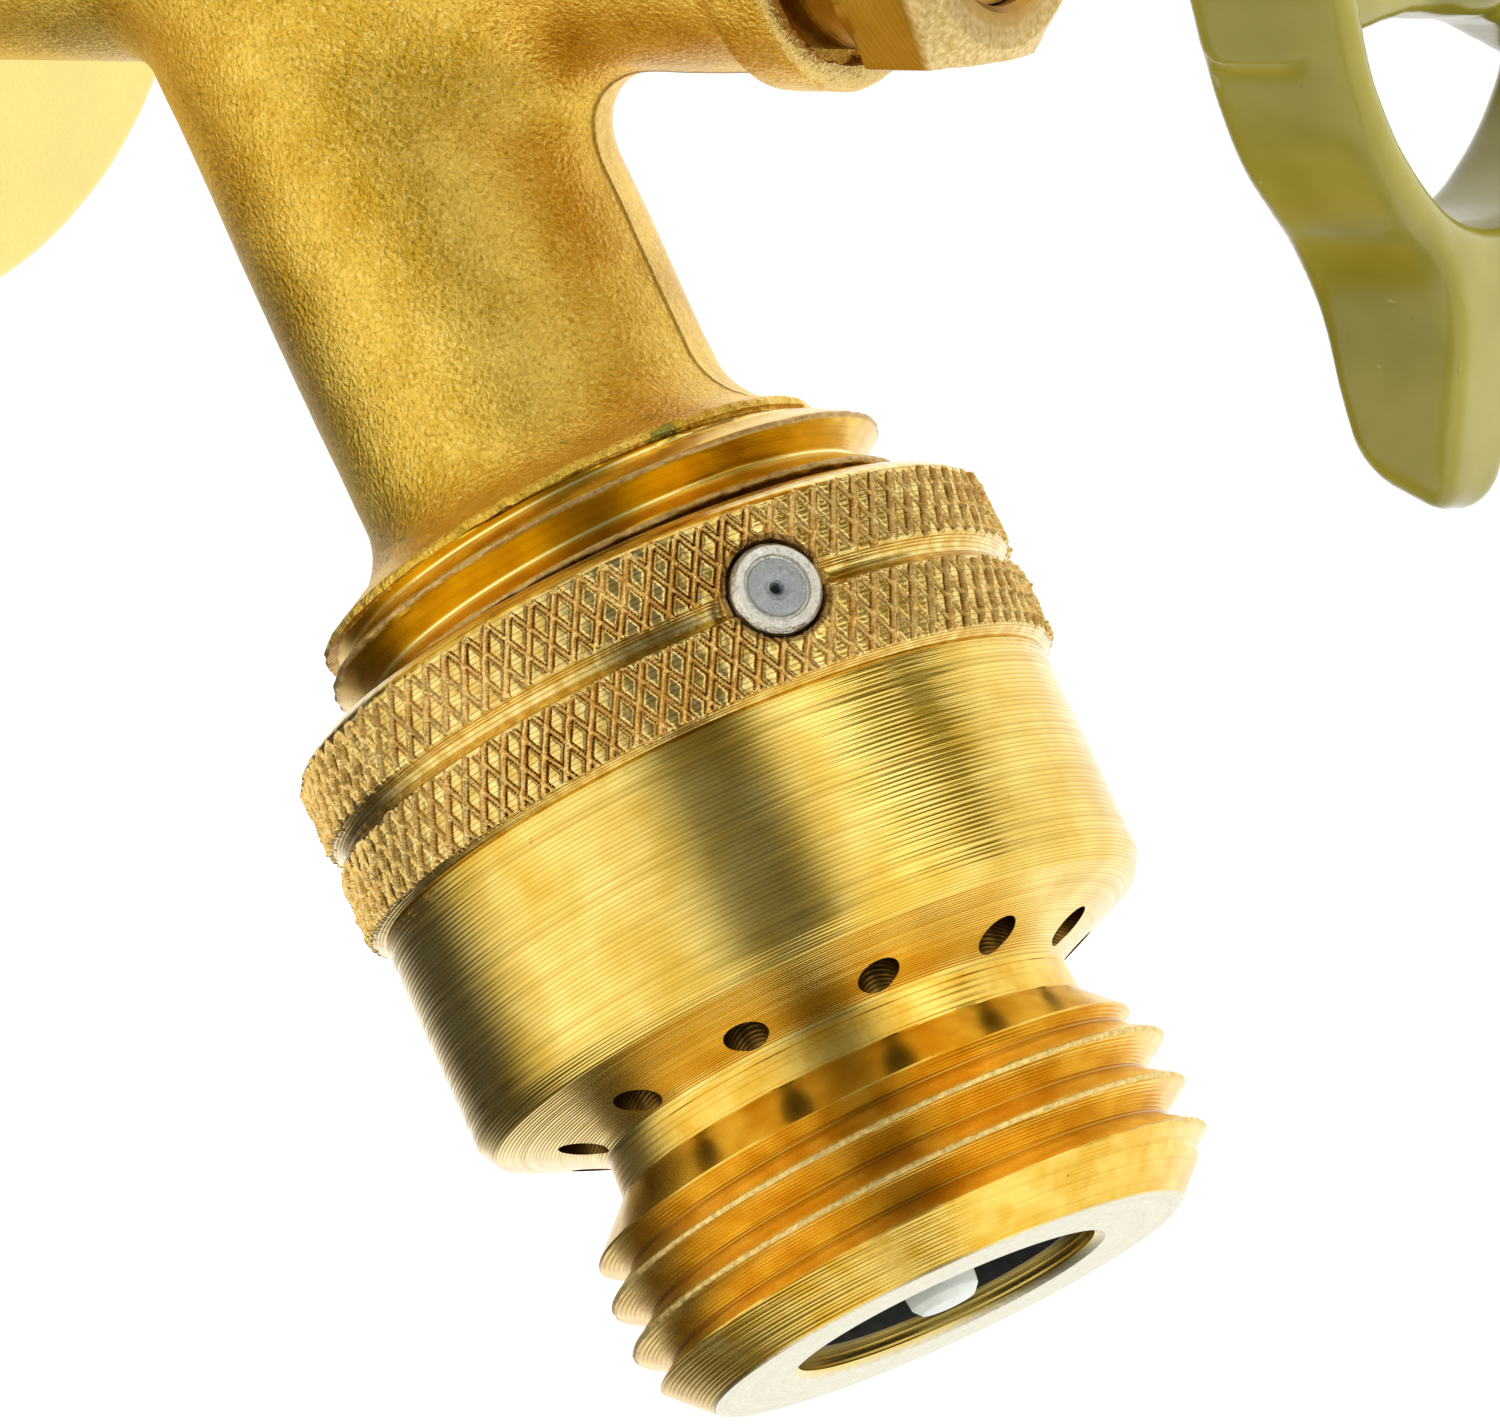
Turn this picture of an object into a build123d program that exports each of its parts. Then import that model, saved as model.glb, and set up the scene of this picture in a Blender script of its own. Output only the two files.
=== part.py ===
"""Flanged hose bib with a screw-on hose vacuum breaker (millimetres).

The valve axis runs along Y through the origin, which is the middle of the wall
flange's back face.  The inlet points to +Y, the handwheel to -Y, up is +Z.
A place on the valve axis is its distance "u" from the crossing of the two
axes, growing towards the handwheel.  A place on the spout axis is its distance
"s" from the same crossing, growing towards the outlet.  The valve is closed.
"""

from build123d import *
from math import cos, radians, sin
import os

# ---------------------------------------------------------------- driving dimensions
CROSSING_DEPTH = 28.0          # wall to the crossing of the two axes
SPOUT_TILT = 30.0              # spout from the vertical, towards the handwheel

FLANGE_HALF_WIDTH = 28.5
FLANGE_HALF_HEIGHT = 21.5
FLANGE_THICKNESS = 5.0
FLANGE_HOLE_X = 21.5
FLANGE_HOLE_R = 2.6

NIPPLE_R = 10.65               # 1/2 inch male pipe thread
NIPPLE_LENGTH = 20.0

BARREL_R = 9.0
COLLAR_R = 9.9
COLLAR_START = 26.2
COLLAR_FACE = 29.5
NECK_R = 8.7
NECK_SHIFT = 0.5               # the cast neck sits off the machined spout axis
CHAMBER_R = 6.5
INLET_BORE_R = 5.6
WATERWAY_R = 5.6

HOSE_THREAD_R = 13.45          # 3/4-11.5 hose thread over the crests
HOSE_SOCKET_R = 13.55
SPOUT_END = 45.0

STROKE = 5.5                   # lift of the seat washer
STEM_R = 3.9
STEM_THREAD_R = 5.0
SEAT_CROWN = -8.6

BONNET_THREAD_R = 7.55
BONNET_SHANK_R = 8.0
BONNET_HEX = 17.0
BONNET_HEX_START = 31.9
BONNET_FACE = 36.9
PACKING_BORE_R = 6.0
PACKING_FLOOR = 30.0

WHEEL_BACK = 53.6
WHEEL_FRONT = 61.4
RIM_OUTER_R = 17.3
RIM_INNER_R = 15.2
LOBE_TIP_R = 27.0
HUB_R = 6.2

BREAKER_TOP = 38.2
BREAKER_R = 15.875             # turned from 1 1/4 inch bar
KNURL_R = 16.45
OUTLET_FACE = 72.05
OUTLET_BORE_R = 7.08
UNDERCUT_R = 10.95
VENT_COUNT = 12
VENT_CIRCLE_R = 12.0
VENT_R = 1.05
VENT_ANGLE = 13.0              # first vent, from -X towards the handwheel side
SET_SCREW_ANGLE = 50.0
SET_SCREW_S = 43.2
POPPET_TRAVEL = 2.5

# ---------------------------------------------------------------- axes and planes
CROSSING = Vector(0, -CROSSING_DEPTH, 0)
TILT = radians(SPOUT_TILT)
SPOUT_DIR = Vector(0, -sin(TILT), -cos(TILT))
SPOUT_SIDE = Vector(0, -cos(TILT), sin(TILT))
VALVE_DIR = Vector(0, -1, 0)
VALVE_AXIS = Axis(CROSSING, VALVE_DIR)
SPOUT_AXIS = Axis(CROSSING, SPOUT_DIR)
VALVE_PROFILE = Plane(origin=CROSSING, x_dir=(1, 0, 0), z_dir=(0, 0, -1))
SPOUT_PROFILE = Plane(origin=CROSSING, x_dir=(1, 0, 0), z_dir=-SPOUT_SIDE)


def valve_plane(u):
    """Plane square to the valve axis, facing the handwheel, its y up."""
    return Plane(origin=CROSSING + VALVE_DIR * u, x_dir=(1, 0, 0), z_dir=VALVE_DIR)


def spout_plane(s, shift=0.0):
    """Plane square to the spout axis, facing the outlet, moved back by shift."""
    origin = CROSSING + SPOUT_DIR * s - SPOUT_SIDE * shift
    return Plane(origin=origin, x_dir=(1, 0, 0), z_dir=SPOUT_DIR)


def radial_plane(angle, s):
    """Plane through the spout axis whose normal points out at this angle."""
    turn = radians(angle)
    out = Vector(-1, 0, 0) * cos(turn) + SPOUT_SIDE * sin(turn)
    return Plane(origin=CROSSING + SPOUT_DIR * s, x_dir=SPOUT_DIR, z_dir=out)


def profile(plane, points):
    """Closed outline of (radius, place on the axis) points."""
    with BuildSketch(plane) as outline:
        with BuildLine():
            Polyline(*points, close=True)
        make_face()
    return outline.sketch


def tube_profile(plane, inner, outer, start, end):
    """Section of a plain ring or disc from start to end."""
    return profile(plane, [(inner, start), (outer, start), (outer, end), (inner, end)])


def hand_in(part, name):
    """Label a finished piece and write it as one STEP file."""
    part.label = name
    export_step(part, f"parts/{name}.step")


os.makedirs("parts", exist_ok=True)

# ---------------------------------------------------------------- valve body casting
flange_back = -CROSSING_DEPTH
flange_front = flange_back + FLANGE_THICKNESS
neck_end = 31.0
recess_floor = COLLAR_FACE - 1.3

with BuildPart() as valve_body:
    with BuildSketch(valve_plane(flange_back)):
        Circle(BARREL_R)
    extrude(amount=CROSSING_DEPTH + COLLAR_FACE - 0.5)
    with BuildSketch(spout_plane(0, NECK_SHIFT)):
        Circle(NECK_R)
    extrude(amount=neck_end)
    root = valve_body.edges().filter_by(lambda e: e.geom_type not in (GeomType.CIRCLE, GeomType.LINE))
    fillet(root, radius=2.2)
    with BuildSketch(valve_plane(flange_back)):
        Ellipse(FLANGE_HALF_WIDTH, FLANGE_HALF_HEIGHT)
    extrude(amount=FLANGE_THICKNESS)
    flange_rim = valve_body.faces().filter_by(Axis.Y).sort_by(SortBy.AREA)[-2:].edges()
    fillet(flange_rim.sort_by(SortBy.LENGTH)[-1], radius=1.0)
    flange_face_y = -CROSSING_DEPTH - flange_front
    flange_root = valve_body.edges().filter_by(GeomType.CIRCLE)
    fillet(flange_root.filter_by_position(Axis.Y, flange_face_y - 0.01, flange_face_y + 0.01), radius=4.0)
    revolve(
        profile(
            VALVE_PROFILE,
            [
                (0, COLLAR_START - 0.9),
                (BARREL_R, COLLAR_START - 0.9),
                (COLLAR_R - 0.2, COLLAR_START + 0.5),
                (COLLAR_R, COLLAR_START + 1.2),
                (COLLAR_R, COLLAR_FACE - 0.6),
                (COLLAR_R - 0.5, COLLAR_FACE),
                (0, COLLAR_FACE),
            ],
        ),
        axis=VALVE_AXIS,
    )
    revolve(
        profile(
            SPOUT_PROFILE,
            [
                (0, 29.0),
                (NECK_R - 0.8, 29.0),
                (NECK_R, 31.0),
                (9.3, 32.1),
                (HOSE_THREAD_R, 34.8),
                (HOSE_THREAD_R, SPOUT_END - 0.9),
                (HOSE_THREAD_R - 0.9, SPOUT_END),
                (0, SPOUT_END),
            ],
        ),
        axis=SPOUT_AXIS,
    )
    revolve(
        profile(
            VALVE_PROFILE,
            [
                (0, flange_back + 1),
                (NIPPLE_R, flange_back + 1),
                (NIPPLE_R, flange_back - NIPPLE_LENGTH + 1.2),
                (NIPPLE_R - 1.2, flange_back - NIPPLE_LENGTH),
                (0, flange_back - NIPPLE_LENGTH),
            ],
        ),
        axis=VALVE_AXIS,
    )
    revolve(
        profile(
            VALVE_PROFILE,
            [
                (0, flange_back - NIPPLE_LENGTH - 1),
                (INLET_BORE_R, flange_back - NIPPLE_LENGTH - 1),
                (INLET_BORE_R, -13.5),
                (6.2, -13.5),
                (6.2, -10.0),
                (CHAMBER_R, -10.0),
                (CHAMBER_R, 19.2),
                (BONNET_THREAD_R, 19.2),
                (BONNET_THREAD_R, recess_floor),
                (COLLAR_R - 1.2, recess_floor),
                (COLLAR_R - 1.2, COLLAR_FACE + 1),
                (0, COLLAR_FACE + 1),
            ],
        ),
        axis=VALVE_AXIS,
        mode=Mode.SUBTRACT,
    )
    with BuildSketch(spout_plane(2)):
        Circle(WATERWAY_R)
    extrude(amount=SPOUT_END, mode=Mode.SUBTRACT)
    with BuildSketch(valve_plane(flange_back)):
        with Locations((-FLANGE_HOLE_X, 0), (FLANGE_HOLE_X, 0)):
            Circle(FLANGE_HOLE_R)
    extrude(amount=FLANGE_THICKNESS + 1, mode=Mode.SUBTRACT)
hand_in(valve_body.part, "valve_body")

# ---------------------------------------------------------------- seat and its washer
with BuildPart() as valve_seat:
    revolve(
        profile(
            VALVE_PROFILE,
            [
                (4.1, -13.4),
                (6.15, -13.4),
                (6.15, -9.6),
                (5.3, -9.6),
                (4.9, SEAT_CROWN),
                (4.4, SEAT_CROWN),
                (4.1, -9.0),
            ],
        ),
        axis=VALVE_AXIS,
    )
hand_in(valve_seat.part, "valve_seat")

washer_face = SEAT_CROWN + 0.1
washer_back = washer_face + 2.6

with BuildPart() as seat_washer:
    revolve(tube_profile(VALVE_PROFILE, 1.75, 5.6, washer_face, washer_back), axis=VALVE_AXIS)
    fillet(seat_washer.edges().filter_by(GeomType.CIRCLE).sort_by(SortBy.LENGTH)[-1], radius=0.4)
hand_in(seat_washer.part, "seat_washer")

holder_back = -1.4
with BuildPart() as disc_holder:
    revolve(
        profile(
            VALVE_PROFILE,
            [
                (1.7, washer_back),
                (5.65, washer_back),
                (5.65, washer_face + 1.0),
                (6.15, washer_face + 1.0),
                (6.15, washer_back + 1.4),
                (4.2, washer_back + 2.2),
                (4.2, holder_back),
                (2.3, holder_back),
                (2.3, holder_back - 0.9),
                (3.15, holder_back - 0.9),
                (3.15, washer_back + 1.6),
                (1.7, washer_back + 1.6),
            ],
        ),
        axis=VALVE_AXIS,
    )
hand_in(disc_holder.part, "disc_holder")

with BuildPart() as seat_washer_screw:
    revolve(
        profile(
            VALVE_PROFILE,
            [
                (0, washer_face - 1.5),
                (2.3, washer_face - 1.5),
                (3.0, washer_face - 0.8),
                (3.0, washer_face),
                (1.68, washer_face),
                (1.68, washer_back + 1.4),
                (0, washer_back + 1.4),
            ],
        ),
        axis=VALVE_AXIS,
    )
    with BuildSketch(valve_plane(washer_face - 1.6)):
        Rectangle(7, 0.8)
    extrude(amount=0.8, mode=Mode.SUBTRACT)
hand_in(seat_washer_screw.part, "seat_washer_screw")

# ---------------------------------------------------------------- stem
SQUARE = 5.6
square_start = 52.0
square_end = 58.4
button_front = holder_back - 1.2

with BuildPart() as stem:
    revolve(
        profile(
            VALVE_PROFILE,
            [
                (0, washer_back + 1.9),
                (2.8, washer_back + 1.9),
                (2.8, button_front),
                (1.95, button_front),
                (1.95, holder_back + 0.5),
                (3.2, holder_back + 1.5),
                (STEM_R, 2.0),
                (STEM_R, 11.0),
                (STEM_THREAD_R, 12.0),
                (STEM_THREAD_R, 21.6),
                (STEM_R, 22.6),
                (STEM_R, square_start),
                (0, square_start),
            ],
        ),
        axis=VALVE_AXIS,
    )
    with BuildSketch(valve_plane(square_start)):
        RectangleRounded(SQUARE, SQUARE, 0.5)
    extrude(amount=square_end - square_start)
    with BuildSketch(valve_plane(square_end)):
        Circle(1.75)
    extrude(amount=-11, mode=Mode.SUBTRACT)
hand_in(stem.part, "stem")

# ---------------------------------------------------------------- bonnet and packing
bonnet_end = 20.0
corner_start = BONNET_FACE - 2.2

with BuildPart() as bonnet:
    with BuildSketch(valve_plane(BONNET_HEX_START)):
        RegularPolygon(BONNET_HEX / 2, 6, major_radius=False, rotation=6.3)
    extrude(amount=BONNET_FACE - BONNET_HEX_START)
    revolve(
        profile(
            VALVE_PROFILE,
            [
                (0, BONNET_HEX_START - 1),
                (8.7, BONNET_HEX_START - 1),
                (8.7, BONNET_HEX_START),
                (9.9, BONNET_HEX_START + 0.7),
                (9.9, corner_start),
                (9.3, BONNET_FACE - 0.9),
                (8.3, BONNET_FACE),
                (0, BONNET_FACE),
            ],
        ),
        axis=VALVE_AXIS,
        mode=Mode.INTERSECT,
    )
    revolve(
        profile(
            VALVE_PROFILE,
            [
                (0, bonnet_end),
                (BONNET_THREAD_R - 0.6, bonnet_end),
                (BONNET_THREAD_R - 0.05, bonnet_end + 0.6),
                (BONNET_THREAD_R - 0.05, recess_floor + 0.05),
                (BONNET_SHANK_R, recess_floor + 0.05),
                (BONNET_SHANK_R, BONNET_HEX_START + 0.2),
                (0, BONNET_HEX_START + 0.2),
            ],
        ),
        axis=VALVE_AXIS,
    )
    revolve(
        profile(
            VALVE_PROFILE,
            [
                (0, bonnet_end - 1),
                (STEM_THREAD_R + 0.3, bonnet_end - 1),
                (STEM_THREAD_R + 0.3, PACKING_FLOOR - 1.5),
                (STEM_R + 0.35, PACKING_FLOOR - 1.2),
                (STEM_R + 0.35, PACKING_FLOOR),
                (PACKING_BORE_R, PACKING_FLOOR),
                (PACKING_BORE_R, BONNET_FACE + 1),
                (0, BONNET_FACE + 1),
            ],
        ),
        axis=VALVE_AXIS,
        mode=Mode.SUBTRACT,
    )
hand_in(bonnet.part, "bonnet")

with BuildPart() as bonnet_gasket:
    revolve(tube_profile(VALVE_PROFILE, 5.6, BONNET_THREAD_R - 0.1, 19.2, bonnet_end), axis=VALVE_AXIS)
hand_in(bonnet_gasket.part, "bonnet_gasket")

packing_start = PACKING_FLOOR + 0.8
packing_end = packing_start + 2.9
gland_end = BONNET_FACE - 0.8

with BuildPart() as packing_washer:
    ring = tube_profile(VALVE_PROFILE, STEM_R + 0.35, PACKING_BORE_R - 0.1, PACKING_FLOOR, packing_start)
    revolve(ring, axis=VALVE_AXIS)
hand_in(packing_washer.part, "packing_washer")

with BuildPart() as stem_packing:
    ring = tube_profile(VALVE_PROFILE, STEM_R + 0.08, PACKING_BORE_R - 0.05, packing_start, packing_end)
    revolve(ring, axis=VALVE_AXIS)
hand_in(stem_packing.part, "stem_packing")

with BuildPart() as packing_gland:
    ring = tube_profile(VALVE_PROFILE, STEM_R + 0.35, PACKING_BORE_R - 0.02, packing_end, gland_end)
    revolve(ring, axis=VALVE_AXIS)
    with BuildSketch(valve_plane(gland_end - 1.0)):
        Rectangle(14, 1.6)
    extrude(amount=2, mode=Mode.SUBTRACT)
hand_in(packing_gland.part, "packing_gland")

# ---------------------------------------------------------------- handwheel
SPOKE_BACK = 55.0
SPOKE_THICKNESS = 4.2
HUB_BACK = 50.6
HUB_FRONT = 60.0
LOBE_ANGLES = (0, 90, 180, 270)
lobe_root = 16.0

with BuildPart() as handwheel:
    ring = profile(
        VALVE_PROFILE,
        [
            (RIM_INNER_R + 0.6, WHEEL_BACK),
            (RIM_OUTER_R - 1.1, WHEEL_BACK),
            (RIM_OUTER_R - 0.2, WHEEL_BACK + 1.2),
            (RIM_OUTER_R + 0.3, WHEEL_FRONT - 1.2),
            (RIM_OUTER_R - 0.6, WHEEL_FRONT),
            (RIM_INNER_R + 0.8, WHEEL_FRONT),
            (RIM_INNER_R, WHEEL_FRONT - 1.0),
            (RIM_INNER_R, WHEEL_BACK + 0.8),
        ],
    )
    revolve(ring, axis=VALVE_AXIS)
    with BuildSketch(valve_plane(SPOKE_BACK)):
        for side in (-1, 1):
            with BuildLine():
                Polyline(
                    (0, 6.0),
                    (side * 5, 6.4),
                    (side * (RIM_INNER_R + 0.6), 8.6),
                    (side * (RIM_INNER_R + 0.6), -8.6),
                    (side * 5, -6.4),
                    (0, -6.0),
                    close=True,
                )
            make_face()
    extrude(amount=SPOKE_THICKNESS)
    revolve(tube_profile(VALVE_PROFILE, 0, HUB_R, HUB_BACK, HUB_FRONT), axis=VALVE_AXIS)
    for angle in LOBE_ANGLES:
        turn = radians(angle)
        out = Vector(cos(turn), 0, sin(turn))
        base = CROSSING + VALVE_DIR * ((WHEEL_BACK + WHEEL_FRONT) / 2)
        along = Vector(-sin(turn), 0, cos(turn))
        with BuildSketch(Plane(origin=base + out * lobe_root, x_dir=along, z_dir=out)):
            RectangleRounded(10.0, 7.4, 1.8)
        with BuildSketch(Plane(origin=base + out * (LOBE_TIP_R - 5), x_dir=along, z_dir=out)):
            RectangleRounded(6.8, 6.4, 1.8)
        with BuildSketch(Plane(origin=base + out * LOBE_TIP_R, x_dir=along, z_dir=out)):
            RectangleRounded(4.4, 4.6, 1.6)
        loft()
    with BuildSketch(valve_plane(HUB_BACK - 1)):
        RectangleRounded(SQUARE + 0.1, SQUARE + 0.1, 0.4)
    extrude(amount=square_end - HUB_BACK + 1.2, mode=Mode.SUBTRACT)
    with BuildSketch(valve_plane(HUB_BACK - 1)):
        Circle(STEM_R + 0.1)
    extrude(amount=square_start - HUB_BACK + 1.1, mode=Mode.SUBTRACT)
    with BuildSketch(valve_plane(square_start)):
        Circle(2.2)
    extrude(amount=HUB_FRONT - square_start + 1, mode=Mode.SUBTRACT)
hand_in(handwheel.part, "handwheel")

washer_top = HUB_FRONT + 0.8
with BuildPart() as handle_washer:
    revolve(tube_profile(VALVE_PROFILE, 2.2, 5.4, HUB_FRONT, washer_top), axis=VALVE_AXIS)
hand_in(handle_washer.part, "handle_washer")

with BuildPart() as handle_screw:
    revolve(
        profile(
            VALVE_PROFILE,
            [
                (0, square_end - 9.5),
                (1.7, square_end - 9.5),
                (1.7, washer_top),
                (3.9, washer_top),
                (3.9, washer_top + 0.9),
                (2.9, washer_top + 2.0),
                (0, washer_top + 2.4),
            ],
        ),
        axis=VALVE_AXIS,
    )
    with BuildSketch(valve_plane(washer_top + 1.3)):
        Rectangle(9, 0.9)
        Rectangle(0.9, 9)
    extrude(amount=2, mode=Mode.SUBTRACT)
hand_in(handle_screw.part, "handle_screw")

# ---------------------------------------------------------------- vacuum breaker body
socket_floor = 47.3
diaphragm_ledge = 50.6
chamber_floor = 55.0

with BuildPart() as breaker_body:
    revolve(
        profile(
            SPOUT_PROFILE,
            [
                (HOSE_SOCKET_R, BREAKER_TOP),
                (14.9, BREAKER_TOP + 0.3),
                (15.9, BREAKER_TOP + 0.9),
                (KNURL_R, BREAKER_TOP + 1.6),
                (KNURL_R, 42.7),
                (16.1, 42.8),
                (16.1, 43.6),
                (KNURL_R, 43.7),
                (KNURL_R, 47.1),
                (BREAKER_R, 47.4),
                (BREAKER_R, 57.3),
                (15.4, 58.1),
                (11.3, 59.9),
                (UNDERCUT_R, 60.3),
                (UNDERCUT_R, 62.1),
                (13.1, 64.1),
                (HOSE_THREAD_R, 64.6),
                (HOSE_THREAD_R, 69.8),
                (11.2, OUTLET_FACE),
                (OUTLET_BORE_R, OUTLET_FACE),
                (OUTLET_BORE_R, chamber_floor),
                (8.0, chamber_floor - 1.0),
                (8.0, 52.4),
                (9.4, 52.4),
                (9.4, chamber_floor),
                (12.2, chamber_floor),
                (12.2, diaphragm_ledge),
                (12.8, diaphragm_ledge),
                (12.8, socket_floor),
                (HOSE_SOCKET_R, socket_floor),
            ],
        ),
        axis=SPOUT_AXIS,
    )
    with BuildSketch(spout_plane(chamber_floor - 0.5)):
        with PolarLocations(VENT_CIRCLE_R, VENT_COUNT, start_angle=180 - VENT_ANGLE):
            Circle(VENT_R)
    extrude(amount=7, mode=Mode.SUBTRACT)
    with BuildSketch(radial_plane(SET_SCREW_ANGLE, SET_SCREW_S).offset(HOSE_SOCKET_R - 1)):
        Circle(2.1)
    extrude(amount=5, mode=Mode.SUBTRACT)
hand_in(breaker_body.part, "breaker_body")

with BuildPart() as breaker_set_screw:
    with BuildSketch(radial_plane(SET_SCREW_ANGLE, SET_SCREW_S).offset(HOSE_THREAD_R + 0.05)):
        Circle(2.05)
    extrude(amount=3.0)
    with BuildSketch(radial_plane(SET_SCREW_ANGLE, SET_SCREW_S).offset(HOSE_THREAD_R + 2.75)):
        Circle(1.6)
        Circle(1.3, mode=Mode.SUBTRACT)
    extrude(amount=1.0, mode=Mode.SUBTRACT)
hand_in(breaker_set_screw.part, "breaker_set_screw")

# ---------------------------------------------------------------- vacuum breaker insides
retainer_end = 49.3
with BuildPart() as hose_gasket:
    revolve(tube_profile(SPOUT_PROFILE, 6.8, 12.9, SPOUT_END, socket_floor), axis=SPOUT_AXIS)
hand_in(hose_gasket.part, "hose_gasket")

with BuildPart() as diaphragm_retainer:
    revolve(tube_profile(SPOUT_PROFILE, 6.8, 12.78, socket_floor, retainer_end), axis=SPOUT_AXIS)
hand_in(diaphragm_retainer.part, "diaphragm_retainer")

with BuildPart() as diaphragm:
    revolve(tube_profile(SPOUT_PROFILE, 4.4, 12.75, retainer_end, diaphragm_ledge), axis=SPOUT_AXIS)
hand_in(diaphragm.part, "diaphragm")

poppet_face = diaphragm_ledge + 0.1
poppet_back = poppet_face + 2.1
poppet_tip = OUTLET_FACE + 0.05
POPPET_STEM_R = 1.65

with BuildPart() as poppet:
    revolve(
        profile(
            SPOUT_PROFILE,
            [
                (0, poppet_face),
                (3.1, poppet_face),
                (3.1, poppet_face + 0.8),
                (5.8, poppet_face + 0.8),
                (5.8, poppet_back),
                (POPPET_STEM_R, poppet_back + 0.6),
                (POPPET_STEM_R, poppet_tip - 0.6),
                (POPPET_STEM_R - 0.6, poppet_tip),
                (0, poppet_tip),
            ],
        ),
        axis=SPOUT_AXIS,
    )
hand_in(poppet.part, "poppet")

with BuildPart() as poppet_seal:
    revolve(tube_profile(SPOUT_PROFILE, 3.15, 5.7, poppet_face, poppet_face + 0.8), axis=SPOUT_AXIS)
hand_in(poppet_seal.part, "poppet_seal")

GUIDE_START = 65.5
GUIDE_END = 71.0
with BuildPart() as poppet_guide:
    revolve(tube_profile(SPOUT_PROFILE, 6.2, OUTLET_BORE_R - 0.03, GUIDE_START, GUIDE_END), axis=SPOUT_AXIS)
    with BuildSketch(spout_plane(GUIDE_START)):
        Circle(3.3)
        with PolarLocations(4.6, 3, start_angle=30):
            Rectangle(3.8, 1.3)
        Circle(POPPET_STEM_R + 0.3, mode=Mode.SUBTRACT)
    extrude(amount=3.0)
hand_in(poppet_guide.part, "poppet_guide")

SPRING_R = 2.7
SPRING_WIRE_R = 0.3
SPRING_TURNS = 6
spring_start = poppet_back + 0.7 + SPRING_WIRE_R
spring_height = GUIDE_START - SPRING_WIRE_R - 0.05 - spring_start
with BuildPart() as poppet_spring:
    with BuildLine():
        coil = Helix(
            pitch=spring_height / SPRING_TURNS,
            height=spring_height,
            radius=SPRING_R,
            center=CROSSING + SPOUT_DIR * spring_start,
            direction=SPOUT_DIR,
        )
    with BuildSketch(Plane(origin=coil @ 0, z_dir=coil % 0)):
        Circle(SPRING_WIRE_R)
    sweep()
hand_in(poppet_spring.part, "poppet_spring")
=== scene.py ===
"""Looks of the flanged hose bib with its vacuum breaker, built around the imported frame."""

import math

import bmesh
import bpy
import numpy as np
from mathutils import Matrix, Vector


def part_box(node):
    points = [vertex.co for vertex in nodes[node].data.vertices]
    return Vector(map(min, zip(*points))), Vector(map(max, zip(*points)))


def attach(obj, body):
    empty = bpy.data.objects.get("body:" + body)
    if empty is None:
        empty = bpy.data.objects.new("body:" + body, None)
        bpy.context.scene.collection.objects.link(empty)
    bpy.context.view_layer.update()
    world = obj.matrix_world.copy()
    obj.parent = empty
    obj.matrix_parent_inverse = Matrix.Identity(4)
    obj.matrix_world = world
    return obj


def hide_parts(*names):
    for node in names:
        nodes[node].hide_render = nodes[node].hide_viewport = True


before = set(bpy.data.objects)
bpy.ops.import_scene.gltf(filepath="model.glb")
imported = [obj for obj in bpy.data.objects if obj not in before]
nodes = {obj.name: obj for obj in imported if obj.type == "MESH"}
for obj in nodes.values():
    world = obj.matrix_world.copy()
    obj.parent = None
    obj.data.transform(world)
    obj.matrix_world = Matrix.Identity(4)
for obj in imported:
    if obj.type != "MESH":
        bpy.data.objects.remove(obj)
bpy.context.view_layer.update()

MM = 0.001
CROSSING = np.array([0.0, -28.0, 0.0])            # where the two axes cross, in millimetres
TILT = math.radians(30)                           # the spout leans this far towards the handwheel
SPOUT = np.array([0.0, -math.sin(TILT), -math.cos(TILT)])
SIDE = np.array([0.0, -math.cos(TILT), math.sin(TILT)])
VALVE = np.array([0.0, -1.0, 0.0])
RIGHT = np.array([1.0, 0.0, 0.0])
UP = np.array([0.0, 0.0, 1.0])
NEAR = 28.0                                       # angle round the spout that faces the camera
PITCH = 2.209                                     # hose thread, 11.5 to the inch
PIPE_PITCH = 25.4 / 14                            # pipe thread, 14 to the inch
HOSE_CREST = 13.45                                # radius over the crests of both hose threads
THREAD_DEPTH = 1.435


# ---------------- places round an axis
def around(middle, axis, zero, quarter):
    """Points from radius, place along the axis, and angle in degrees from zero towards quarter."""
    def point(radius, along, angle):
        turn = np.radians(angle)[..., None]
        out = zero * np.cos(turn) + quarter * np.sin(turn)
        return middle + axis * np.asarray(along)[..., None] + out * np.asarray(radius)[..., None]

    return point


spout_point = around(CROSSING, SPOUT, -RIGHT, SIDE)
valve_point = around(CROSSING, VALVE, -RIGHT, UP)


# ---------------- noise
def value_noise(points, size, seed):
    """Smooth random values from -1 to 1 over space, with features of about this size."""
    q = np.asarray(points, float) / size
    cell = np.floor(q).astype(np.int64)
    part = q - cell
    part = part * part * (3 - 2 * part)
    total = np.zeros(len(q))
    for corner in range(8):
        pick = np.array([corner & 1, corner >> 1 & 1, corner >> 2 & 1])
        key = (cell + pick) * np.array([73856093, 19349663, 83492791])
        mix = (key[:, 0] ^ key[:, 1] ^ key[:, 2] ^ (seed * 2654435761)) & 0xFFFFFFFF
        mix = ((mix ^ (mix >> 15)) * 2246822519) & 0xFFFFFFFF
        mix = ((mix ^ (mix >> 13)) * 3266489917) & 0xFFFFFFFF
        weight = np.prod(np.where(pick, part, 1 - part), axis=1)
        total += weight * ((mix ^ (mix >> 16)) / 2147483648.0 - 1.0)
    return total


# ---------------- mesh making
WELD = 2e-6                                       # metres between points that become one


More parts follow.
